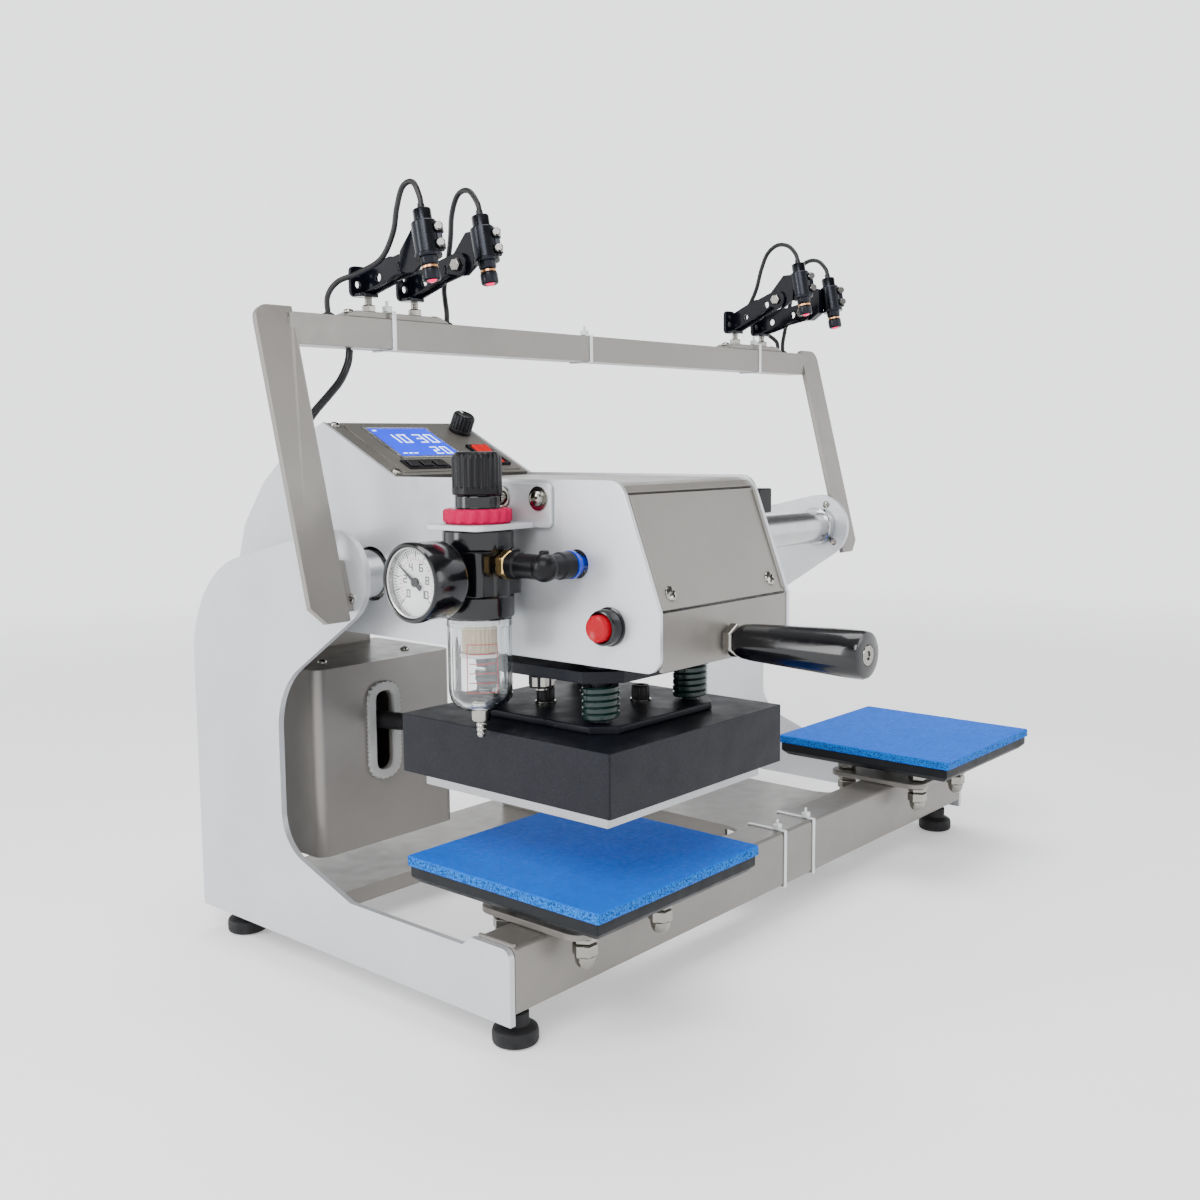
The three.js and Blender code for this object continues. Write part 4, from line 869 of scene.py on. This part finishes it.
def make_laser_head(name, laser):
    """Barrel with lens, split clamp sleeve with two screws, and the fin on its pivot."""
    body = f"laser_{name}"
    middle = 25.0
    tilt = (TO_FRAME @ Matrix.Translation((laser["x"], LASER_Y, laser["tip"] + middle - 0.5))
            @ Matrix.Rotation(-LASER_TILT, 4, "X") @ Matrix.Translation((0, 0, -middle)))
    barrel = Shape().turned([
        (3.4, 0.9), (3.4, 0.2), (4.6, 0), (5.3, 0.5), (5.6, 1.4), (5.6, 6.6), (5.2, 7.2), (4.7, 7.4),
        (4.7, 8.0), (4.5, 9.4), (4.9, 9.6), (5.3, 10.2), (5.6, 11), (5.6, 43.2), (5.2, 43.9), (2.2, 43.9),
        (2.2, 42), (0, 42), (0, 0.9)], segments=40)
    add(f"laser_barrel_{name}", barrel, "anodised", body, 0, [f"laser_head_{name}"], tilt)
    lens = Shape().turned([(0, -1.0), (1.5, -0.75), (2.7, 0.0), (3.4, 0.95), (0, 1.6)], segments=32)
    add(f"laser_lens_{name}", lens, "lens", body, matrix=tilt)
    ring = Shape().turned(washer(4.4, 5.15, 7.7, 8.9), segments=40)
    add(f"laser_ring_{name}", ring, "copper", body, matrix=tilt)
    sleeve = Shape().turned([(5.5, 14.2), (8.3, 14.2), (8.5, 14.8), (8.5, 16.2), (7.7, 16.8), (7.7, 35.6),
                             (7.3, 36.2), (5.5, 36.2), (5.5, 14.2)])
    add(f"laser_sleeve_{name}", sleeve, "anodised", body, matrix=tilt)
    clamp = tilt @ Matrix.Rotation(math.radians(-45), 4, "Z")
    ears = Shape().box((6.2, -2.6, 17.5), (10.2, -0.5, 35)).box((6.2, 0.5, 17.5), (10.2, 2.6, 35))
    add(f"laser_ears_{name}", ears, "anodised", body, 0.4, matrix=clamp)
    bolt_profile = [(0, -6), (2.1, -6), (2.8, -5.4), (2.8, -2.7), (1.5, -2.7), (1.5, 4.2), (0, 4.2)]
    for k, height in enumerate((21.2, 31.2)):
        bolt = Shape().turned(bolt_profile, "y", (8.6, 0, height), 24)
        bolt.hexagon(3.1, 2.7, 5.2, "y", (8.6, 0, height))
        recess = Shape().box((8.1, -7, height - 2), (9.1, -5.2, height + 2))
        add(f"laser_clamp_screw_{name}_{k + 1}", bolt, "nickel", body, matrix=clamp, holes=[recess])
    relief = Shape().turned([(0, 41.5), (2.7, 41.5), (2.7, 43.6), (2.3, 45.5), (2.1, 47.5), (0, 47.5)],
                            segments=24)
    add(f"laser_relief_{name}", relief, "cable", body, matrix=tilt)
    side = 1 if laser["x"] > laser["post"] else -1
    near = laser["post"] + side * 1.55
    far = near + side * max(2.5, abs(laser["x"] - near) - 4)
    z = laser["tip"] + 14
    corners = [(-1, z - 7), (-1, z + 7), (-13, z + 20), (-23, z + 20), (-23, z - 1), (-14, z - 7)]
    fin = Shape().slab(rounded(corners, 3.2), "side", *sorted((near, far)))
    add(f"laser_fin_{name}", fin, "leaf", body, 0.35)
    nut_face = laser["post"] - side * 1.55
    pivot = Shape().hexagon(4.4, *sorted((nut_face, nut_face - side * 2.5)), "x", (0, PIVOT_Y, z))
    pivot.turned(rod(2.2, near - side * 4, near + side), "x", (0, PIVOT_Y, z), 24)
    add(f"laser_pivot_{name}", pivot, "bright", body, 0.2)


def make_laser_lead(name, route):
    """The lead from its laser down into the cross bar, left without a body."""
    lead = Shape().tube(smooth_path(route, 1.6), 1.75, 14)
    piece = add(f"laser_lead_{name}_cable", lead, "cable", None, 0, [f"laser_lead_{name}"])
    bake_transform(piece)
    collar = [(1.85, 418), (4, 418), (3.8, 419.4), (1.85, 420.4), (1.85, 418)]
    grommet = Shape().turned(collar, centre=(*route[-1][:2], 0), segments=28)
    add(f"lead_grommet_{name}", grommet, "rubber", "root")


# ---------------------------------------------------------------- pressing head

def make_head():
    for node in ("head_left_panel", "head_right_panel"):
        dress(node, "silver", 0.55, 25)
    for node in ("head_lower_front", "head_front_cover", "head_top_cover", "head_rear_cover"):
        dress(node, "grey", 0.4, 25)
    dress("bearing_block", "alu", 0.5)
    dress("air_cylinder", "alu", 0.4)
    dress("rear_box", "grey", 0.9)
    cover_normal = (0, -0.935, 0.355)
    for k, x in enumerate((-46, 46)):
        on_cover = facing((HEAD_X + x, -220.2, 260.5), cover_normal, 25 + 30 * k)
        screw(f"cover_screw_{k + 1}", COVER_SCREW, on_cover, "carriage")
        on_box = facing((HEAD_X + x * 0.8, 84, 190.7), (0, 0, 1), 40 * k)
        screw(f"box_screw_{k + 1}", SMALL_SCREW, on_box, "carriage")
    rim = Shape()
    rim_outline = [(-224.6, 255), (-223.2, 255.6), (-202.8, 310.6), (-204.2, 311.2)]
    for x in (-57.3, 55.2):
        rim.slab(rim_outline, "side", HEAD_X + x, HEAD_X + x + 2.1)
    add("front_cover_rim", rim, "grey", "carriage", 0.35)
    sensor = Shape().box((HEAD_X + 60.5, -205, 296.5), (HEAD_X + 73.5, -186, 311))
    add("position_sensor", sensor, "satin", "carriage", 0.8)
    eye = Shape().turned([(0, 73), (4, 73), (4, 75), (3, 75.6), (0, 75.6)], "x", (HEAD_X, -195.5, 303.5), 32)
    add("position_sensor_eye", eye, "orange_red", "carriage", 0.2)


SEGMENTS = {"0": "abcdef", "1": "bc", "2": "abged", "3": "abgcd", "4": "fgbc", "6": "afgedc", "8": "abcdefg"}


# where each stroke runs, in figure widths and half figure heights: x0, y0, x1, y1
STROKES = {"a": (0, 2, 1, 2), "b": (1, 1, 1, 2), "c": (1, 0, 1, 1), "d": (0, 0, 1, 0), "e": (0, 0, 0, 1),
           "f": (0, 1, 0, 2), "g": (0, 1, 1, 1)}


def display_figures(shape, text, x, y, width, height, stroke):
    """Seven-segment figures, drawn as thin bars with their lower left corner at x, y."""
    gap = 0.12
    for k, figure in enumerate(text):
        left = x + k * width * 1.5
        for name in SEGMENTS[figure]:
            x0, y0, x1, y1 = STROKES[name]
            low_x, high_x = x0 * (width - stroke), x1 * (width - stroke) + stroke
            low_y, high_y = y0 * height / 2, y1 * height / 2
            if y0 == y1:
                low_y = y0 * (height - stroke) / 2
                high_y = low_y + stroke
            low = (left + low_x + gap, y + low_y + gap, FIGURE_LOW)
            high = (left + high_x - gap, y + high_y - gap, FIGURE_HIGH)
            shape.box(low, high)


def make_controls():
    """Display, keys, rocker and knob, in the control face's own frame."""
    dress("control_face", "face", 0.5)
    screen = Shape().slab(rectangle(-35.5, 15.5, 23, 63, 1.5), "top", 0.9, 1.5)
    add("display_screen", screen, "lcd", "carriage", 0.2, matrix=SLOPE)
    border = Shape().border(-37.3, 17.3, 21.2, 64.8, 1.8, 0.9, 2.2)
    add("display_border", border, "zinc", "carriage", 0.3, matrix=SLOPE)
    figures = Shape()
    display_figures(figures, "10", -27, 42, 6.5, 12, 1.2)
    display_figures(figures, "30", -4, 42, 6.5, 12, 1.2)
    display_figures(figures, "20", -3, 26, 5.5, 10, 1.1)
    marks = [(-32, 59.2, 3, 1.2), (9.2, 53, 1, 1), (-10.8, 53, 1, 1),
             (-31, 27, 3, 1), (-26.5, 27, 3, 1), (-22, 27, 3, 1)]
    for x, y, width, height in marks:
        figures.box((x, y, FIGURE_LOW), (x + width, y + height, FIGURE_HIGH))
    add("display_figures", figures, "digit", "carriage", matrix=SLOPE)
    strip = Shape().slab(rectangle(-42, -6.5, 6.5, 18.5, 1.5), "top", 0.9, 1.7)
    add("key_strip", strip, "satin", "carriage", 0.2, matrix=SLOPE)
    for k in range(3):
        key = Shape().slab(rectangle(-39.5 + 11 * k, -31 + 11 * k, 9, 16, 1.5), "top", 1.6, 2.7)
        add(f"key_{k + 1}", key, "gloss", "carriage", 0.3, matrix=SLOPE)
    for k, (x, y) in enumerate(((-54, 70), (-54, 5), (56, 70))):
        screw(f"face_screw_{k + 1}", SMALL_SCREW, SLOPE @ Matrix.Translation((x, y, -0.1)), "carriage")
    make_encoder_knob(SLOPE @ Matrix.Translation((43.9, 59, 0)))
    dress("power_rocker", "orange_red", 0.5)
    surround = Shape().border(29.7, 47.7, 8.6, 36.4, 1.8, 0.9, 2.9)
    add("rocker_frame", surround, "satin", "carriage", 0.3, matrix=SLOPE)


def make_encoder_knob(place):
    profile = [(0, -7.5), (3, -7.5), (3, 1.4), (7.8, 1.4), (8, 2.0), (8, 3.6), (7.6, 4.2), (7.5, 12.4),
               (7.0, 13.7), (5.9, 14.4), (4.6, 14.1), (0, 14)]
    knob = Shape().turned(profile, segments=120, ripple=(20, 0.4, 4, 13))
    add("encoder_knob_ribbed", knob, "satin", "encoder_knob", 0, ["encoder_knob"], place)
    mark = Shape().box((-0.5, 2.5, 14.0), (0.5, 5.8, 14.35))
    add("encoder_mark", mark, "dial", "encoder_knob", matrix=place)
    add("encoder_washer", Shape().turned(washer(3.6, 10.2, 0.2, 0.9)), "zinc", "carriage", matrix=place)


def make_start_button():
    centre = (FITTED_X, -193, 243)
    collar = Shape().turned([(7.6, -7.4), (8.2, -8), (9, -7.7), (9.5, -6.6), (9.5, -1), (10.4, -0.8),
                             (10.4, 0), (8, 0), (8, 17), (3, 17), (3, 8), (7.6, 8), (7.6, -7.4)],
                            "x", centre, 56)
    add("button_collar_ring", collar, "gloss", "carriage", 0, ["button_collar"])
    cap = Shape().turned([(0, -11.4), (4.2, -11.6), (5.6, -12), (6.6, -11.7), (7.2, -10.8), (7.2, 3.5),
                          (2.4, 3.5), (2.4, 12), (0, 12)], "x", centre, 56)
    add("start_button_cap", cap, "red", "start_button", 0, ["start_button"])


def make_handle():
    """Turned grip with its end bolt and lock nut. Profiles run along Y from the grip's outer end."""
    end = (HEAD_X, -310.4, 232)
    grip = Shape().turned([(0, 1.6), (5.4, 1.6), (5.4, 0.6), (10.6, 0.6), (11.8, 1.2), (12.35, 2.8),
                           (12.35, 12), (11.9, 24), (11.2, 40), (10.6, 55), (10.0, 68), (9.4, 74),
                           (8.4, 76.8), (6, 77.4), (0, 77.4)], "y", end, 64)
    add("handle_grip_gloss", grip, "gloss", "carriage", 0, ["handle_grip"])
    bolt = Shape().turned([(2.3, 0.2), (5.0, 0.2), (5.2, 0.6), (5.2, 1.8), (2.3, 1.8), (2.3, 0.2)],
                          "y", end, 32)
    bolt.turned(rod(2.3, 1.1, 1.9), "y", end, 6)
    add("handle_bolt", bolt, "bright", "carriage", 0.15)
    nut = Shape().hexagon(9.2, 77.8, 84.2, "y", end)
    nut.turned(rod(4.8, 76.4, 84.6), "y", end, 24)
    add("handle_nut", nut, "bright", "carriage", 0.3)


def make_slot_trim():
    """Serrated edging round the cable slot of the rear box."""
    middle_x, half_x, low, high = HEAD_X - 5, 10.5, 112, 172.6
    path = rectangle(middle_x - half_x, middle_x + half_x, low, high, half_x - 0.3, 10)
    rings = []
    for i, place in enumerate(divided(path, 1.5, round)):
        spine = Vector((middle_x, max(low + half_x, min(high - half_x, place.y))))
        out = (place - spine).normalized()
        tooth = 4.0 if i % 2 else 3.0
        edges = [(-2.6, 57.2), (tooth, 57.2), (tooth, 59.9), (-2.6, 59.9)]
        rings.append([(place.x + out.x * d, y, place.y + out.y * d) for d, y in edges])
    add("slot_trim", Shape().rings(rings, closed=True), "trim", "carriage", 0.25)


# ---------------------------------------------------------------- air unit

def make_regulator():
    housing = Shape().turned([
        (0, 245), (17.6, 245), (18.6, 245.5), (19.25, 246.6), (19.25, 257), (18.4, 257.6), (18.4, 282),
        (19.25, 282.6), (19.25, 291.4), (18.6, 292.7), (14, 292.7), (14, 304), (12.2, 304.4), (12.2, 310.4),
        (11.8, 311), (0, 311)], centre=AIR_AXIS, segments=72)
    waist = rectangle(AIR_X - 17.5, AIR_X + 17.5, AIR_Y - 17.4, AIR_Y + 17.4, 5)
    housing.slab(waist, "top", 258, 281.6)
    add("regulator_housing", housing, "gloss", "carriage", 0.3, ["regulator_body"])
    ring = Shape().turned([
        (14.2, 296.2), (17.2, 296.2), (18.0, 296.8), (18.25, 297.8), (18.25, 302.6), (17.6, 303.6),
        (16.6, 304), (12.3, 304), (12.3, 303), (14.2, 303), (14.2, 296.2)],
        centre=AIR_AXIS, segments=144, ripple=(18, 0.7, 297, 303.7))
    add("lock_ring", ring, "pink", "carriage")
    knob = Shape().turned([
        (0, 311.3), (12.9, 311.3), (13.5, 311.9), (13.5, 315.0), (13.1, 315.8), (13.2, 330.6), (12.6, 333),
        (11.4, 334.2), (9.6, 334.4), (8.8, 333.7), (0, 333.6)],
        centre=AIR_AXIS, segments=240, ripple=(24, 0.5, 315.5, 331))
    add("regulator_knob_ribbed", knob, "satin", "regulator_knob", 0, ["regulator_knob"])
    outer, inner = (arc((AIR_X, AIR_Y), radius, 30, 150) for radius in (6.6, 5.6))
    arrow = Shape().slab(outer + inner[::-1], "top", 333.5, 333.9)
    add("regulator_arrow", arrow, "pink", "regulator_knob")


def make_bracket():
    leaf = Shape().slab(rectangle(-153.7, -89, 293, 317, 3.5), "side", FITTED_X - 2.2, FITTED_X)
    add("bracket_leaf", leaf, "silver", "carriage", 0.4, ["regulator_bracket"])
    flange = Shape().slab(rectangle(HEAD_X - 107.5, FITTED_X - 0.2, -143, -100, 7), "top", 293, 296)
    hole = Shape().turned(rod(14.2, 290, 300), centre=AIR_AXIS, segments=56)
    add("bracket_flange", flange, "silver", "carriage", 0.4, holes=[hole])
    for k, y in enumerate((-145.2, -116.5)):
        place = facing((FITTED_X - 2.2, y, 308.8), (-1, 0, 0), 15 + 50 * k)
        screw(f"bracket_screw_{k + 1}", BRACKET_SCREW, place, "carriage")


def make_bowl():
    """Clear filter bowl with its element, fill scale and drain."""
    bowl = Shape().turned([
        (5.6, 194.7), (10.4, 194.9), (13.8, 196.6), (16.2, 199.8), (17.2, 204), (17.3, 208), (17.3, 240.6),
        (17.9, 241), (17.9, 244.7), (15.8, 244.7), (15.7, 208), (15.5, 204.6), (14.6, 201.4), (12.6, 198.6),
        (10, 197), (5.6, 196.8), (5.6, 194.7)],
        centre=AIR_AXIS, segments=96, ripple=(16, 0.28, 207, 240.7))
    add("clear_filter_bowl", bowl, "clear", "carriage", 0, ["filter_bowl"])
    inside = (
        ("filter_element", "filter", 96, (24, 0.5, 226.5, 240.6),
         [(0, 226), (8.6, 226), (8.9, 226.6), (8.9, 240.4), (8.6, 241), (0, 241)]),
        ("filter_deflector", "dial", 56, None,
         [(0, 223.4), (10.6, 223.6), (11.4, 224.4), (10.4, 225.6), (0, 225.8)]),
        ("filter_louvre", "dial", 72, (20, 0.8, 241, 245),
         [(0, 241.2), (13.2, 241.2), (13.8, 242), (13.8, 244.4), (0, 244.8)]),
    )
    for name, finish, segments, ripple, profile in inside:
        add(name, Shape().turned(profile, "z", AIR_AXIS, segments, ripple), finish, "carriage")
    make_bowl_scale()
    drain = Shape().turned([
        (0, 199), (4.4, 199), (4.9, 198.4), (4.9, 195), (5.4, 194.4), (5.4, 189), (4.9, 188), (3.2, 187.7),
        (2.5, 186.9), (2.5, 186.2), (3.0, 185.3), (2.4, 184.2), (2.4, 183.6), (2.8, 182.8), (2.2, 181.6),
        (2.2, 181.0), (2.6, 180.2), (1.9, 178.8), (1.1, 178.8), (1.1, 181), (0, 181)],
        centre=AIR_AXIS, segments=40)
    add("drain_fitting", drain, "bright", "carriage")


def make_bowl_scale():
    """Red fill lines on the bowl's inside: a frame with four shorter lines across it."""
    start, end, low, pitch, lines = 200, 262, 206, 5.2, 6
    section = [(15.28, -0.22), (15.45, -0.22), (15.45, 0.22), (15.28, 0.22)]
    scale = Shape()
    for k in range(lines):
        first, sweep = (start, end - start) if k in (0, lines - 1) else (start + 4, (end - start) * 0.86)
        rings = []
        for step in range(13):
            angle = math.radians(first + sweep * step / 12)
            rings.append([(AIR_X + r * math.cos(angle), AIR_Y + r * math.sin(angle), low + pitch * k + h)
                          for r, h in section])
        scale.rings(rings)
    for edge in (start, end):
        angle = math.radians(edge)
        foot = Vector((AIR_X + 15.3 * math.cos(angle), AIR_Y + 15.3 * math.sin(angle), low))
        scale.tube([foot, foot + Vector((0, 0, pitch * (lines - 1)))], 0.2, 8)
    add("bowl_scale", scale, "red_ink", "carriage")


def make_gauge():
    """Pressure gauge that faces -X. Its profiles run along X from the front of its case."""
    front = (GAUGE_X, AIR_Y, GAUGE_Z)
    dial = DIAL_X - GAUGE_X
    back = AIR_X - 19.3 - GAUGE_X
    pieces = (
        ("gauge_case", "gloss", 96, [
            (0, dial), (18.4, dial), (18.4, 1.2), (18.9, 0.2), (19.8, 0), (20.8, 0.5), (21.1, 1.6),
            (21.1, 4.6), (20.6, 5.2), (20.6, 21), (19.6, 23.4), (18, 24), (8.2, 24), (8.2, 26),
            (6.4, 26.2), (6.4, back), (0, back)]),
        ("gauge_dial", "dial", 72, rod(18.3, dial - 0.5, dial + 0.1)),
        ("gauge_window", "glass", 72, [(0, 1.4), (12, 1.5), (18.3, 1.9), (18.3, 2.7), (0, 2.6)]),
        ("gauge_inner_rim", "zinc", 96, [(17.6, 1.2), (18.35, 0.9), (18.35, 5), (17.6, 5.2), (17.6, 1.2)]),
    )
    for name, finish, segments, profile in pieces:
        replaced = ["pressure_gauge"] if name == "gauge_case" else []
        add(name, Shape().turned(profile, "x", front, segments), finish, "carriage", 0, replaced)
    make_gauge_marks()
    turn = Matrix.Rotation(math.radians(35), 2)
    blade = [(-5.5, -1.3), (-4.5, -1.5), (0, -0.9), (15, -0.2), (15.6, 0), (15, 0.2), (0, 0.9), (-4.5, 1.5),
             (-5.5, 1.3)]
    outline = [tuple(Vector((AIR_Y, GAUGE_Z)) + turn @ Vector(point)) for point in blade]
    needle = Shape().slab(outline, "side", DIAL_X - 2.0, DIAL_X - 1.4)
    hub = [(0, dial - 2.9), (1.6, dial - 2.8), (2.4, dial - 2.2), (2.4, dial - 0.7), (0, dial - 0.7)]
    needle.turned(hub, "x", front, 32)
    add("gauge_pointer", needle, "ink", "gauge_needle", 0.1, ["gauge_needle"])


def make_gauge_marks():
    """Fifty black divisions numbered 0 to 10, and a red inner scale."""
    first, sweep, divisions, red_divisions = 225, 270, 50, 28
    ink, red = Shape(), Shape()
    for k in range(divisions + 1):
        angle = math.radians(first - sweep * k / divisions)
        start, width = (13.2, 0.6) if k % 5 == 0 else (14.6, 0.3)
        gauge_tick(ink, angle, start, 17.0, width)
    for k in range(red_divisions + 1):
        angle = math.radians(first - 9.6 * k)
        gauge_tick(red, angle, 11.0 if k % 4 == 0 else 11.6, 12.6, 0.3)
    for k in range(6):
        angle = math.radians(first - sweep * k / 5)
        figures = str(k * 2)
        for place, figure in enumerate(figures):
            left = 8.6 * math.cos(angle) - 1.5 * len(figures) + 3.0 * place + 0.4
            gauge_digit(ink, figure, left, 8.6 * math.sin(angle) - 1.8)
    add("gauge_ticks", ink, "ink", "carriage")
    add("gauge_ticks_red", red, "red_ink", "carriage")


def gauge_tick(shape, angle, start, end, width):
    """A bar on the dial. The dial faces -X, so its right-hand side is -Y."""
    along = Vector((-math.cos(angle), math.sin(angle)))
    across = Vector((-along.y, along.x)) * width / 2
    centre = Vector((AIR_Y, GAUGE_Z))
    near, far = centre + along * start, centre + along * end
    corners = [near - across, far - across, far + across, near + across]
    shape.slab([tuple(corner) for corner in corners], "side", *DIAL_PRINT)


def gauge_digit(shape, figure, x, y):
    """One small figure on the dial, with its lower left corner at x, y from the centre."""
    half, width, half_height = 0.27, 2.2, 1.8
    for name in SEGMENTS[figure]:
        x0, y0, x1, y1 = STROKES[name]
        right, left = AIR_Y - (x + x0 * width - half), AIR_Y - (x + x1 * width + half)
        low, high = GAUGE_Z + y + y0 * half_height - half, GAUGE_Z + y + y1 * half_height + half
        bar = rectangle(right, left, low, high)
        shape.slab(bar, "side", *DIAL_PRINT)


def make_elbow():
    """Brass nipple out of the regulator's front port, and a push-in elbow to the head's side."""
    y, z, port = -170.3, 274.6, AIR_Y - 19.4
    nipple = Shape().hexagon(8.0, port - 6, port + 0.4, "y", (AIR_X, 0, z))
    nipple.turned(rod(5.6, port - 9, port + 1), "y", (AIR_X, 0, z), 32)
    add("elbow_nipple", nipple, "brass", "carriage", 0.35)
    elbow = Shape().turned([(0, y - 4), (6.6, y - 4), (6.6, port - 12), (7.3, port - 11.4),
                            (7.3, port - 6.2), (6.9, port - 5.8), (0, port - 5.8)], "y", (AIR_X, 0, z))
    slices = [math.radians(k * 12) for k in range(1, 15)]
    ball = [(0, -7.6), *((7.6 * math.sin(t), -7.6 * math.cos(t)) for t in slices), (0, 7.6)]
    elbow.turned(ball, "z", (AIR_X, y, z), 40)
    elbow.turned([(0, 2), (6.6, 2), (6.6, 10), (7.3, 10.8), (7.3, 18.2), (6.9, 18.8), (0, 18.8)],
                 "x", (AIR_X, y, z))
    elbow.turned([(0, 6), (2.6, 6), (2.6, 8.2), (2.1, 8.8), (0, 8.8)], "z", (AIR_X + 1, y + 1, z), 24)
    add("elbow_body", elbow, "satin", "carriage", 0.2, ["elbow_fitting"])
    collet = [(3.4, 19), (7.6, 19), (7.6, 21), (6.2, 21.6), (6.2, 24), (3.4, 24), (3.4, 19)]
    add("elbow_collet", Shape().turned(collet, "x", (AIR_X, y, z)), "blue_collet", "carriage")
    hose = Shape().turned(rod(4, 18, 33), "x", (AIR_X, y, z), 32)
    add("inner_air_hose", hose, "blue_collet", "carriage")


# ---------------------------------------------------------------- press stack

SLEEVE_ROUTE = [(-5, 74, 149), (-5, 56, 149.5), (-5.2, 38, 151), (-5.8, 18, 154), (-6.6, -2, 157.8),
                (-7.2, -22, 161), (-7.5, -36, 162.4), (-7.5, -48.1, 163)]


def make_press_stack():
    for node, finish, bevel in (("ram_plate", "hammer", 0.8), ("heater_mount_plate", "hammer", 0.9),
                                ("heater_cover", "hammer", 0.9), ("heat_platen", "alu", 0.5)):
        dress(node, finish, bevel)
    for k, x in enumerate((-44.5, 44.5)):
        centre = (HEAD_X + x, WORK_Y, 0)
        nut = Shape().hexagon(7.7, 201, 208.5, centre=centre)
        nut.turned(rod(4, 199.2, 202), centre=centre, segments=32)
        add(f"ram_nut_{k + 1}", nut, "bright", "ram", 0.4)
    for a, across in ((-1, "left"), (1, "right")):
        for b, along in ((-1, "front"), (1, "rear")):
            make_spring(f"{along}_{across}", (HEAD_X + a * GUIDE_BOLT, WORK_Y + b * GUIDE_BOLT))
            make_mount_bolt(f"{along}_{across}", (HEAD_X + a * 20, WORK_Y + b * 20, 0))
    make_heater_sleeve()


def make_spring(place, middle):
    """A spring between the ram plate and the heater, left without a body."""
    low, high = 186.1, 208.5
    coil = Shape().coil(middle, 6.6, 10.4, low, high, 5.2, 3.5)
    spring = add(f"die_spring_{place}", coil, "spring", None, 0, [f"spring_{place}"])
    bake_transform(spring)


def make_mount_bolt(place, socket):
    head = Shape().turned([(0, 187), (5.3, 187), (5.3, 194.4), (4.8, 195.1), (2.7, 195.1)], "z", socket, 72,
                          (24, 0.16, 187, 194.5))
    recess = Shape().turned(rod(2.7, 191.5, 199), "z", socket, 6)
    add(f"mount_bolt_{place}", head, "satin", "heater", holes=[recess])
    ring = Shape().turned(washer(3, 6.3, 185.8, 186.9), "z", socket)
    add(f"mount_washer_{place}", ring, "bright", "heater", 0.15)


def make_heater_sleeve():
    """Ribbed sleeve from the rear box to the heater, with its gland."""
    path = smooth_path([(HEAD_X + x, y, z) for x, y, z in SLEEVE_ROUTE], 1.0)
    sleeve = Shape().tube(path, lambda i: 5.95 - 0.12 * (i % 2), 28)
    piece = add("heater_sleeve_ribbed", sleeve, "sleeve", None, 0, ["heater_cable_sleeve"])
    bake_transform(piece)
    profile = [(6.1, 80), (8.6, 80), (8.6, 85), (7.6, 87), (6.1, 87), (6.1, 80)]
    gland = Shape().turned(profile, "y", (HEAD_X - 7.5, WORK_Y, 163), 40)
    add("heater_gland", gland, "satin", "heater", 0.3)


make_camera()
make_studio()
make_base_frame()
make_station(-1, "left")
make_station(1, "right")
make_laser_frame()
make_head()
make_controls()
make_start_button()
make_handle()
make_slot_trim()
make_regulator()
make_bracket()
make_bowl()
make_gauge()
make_elbow()
make_press_stack()
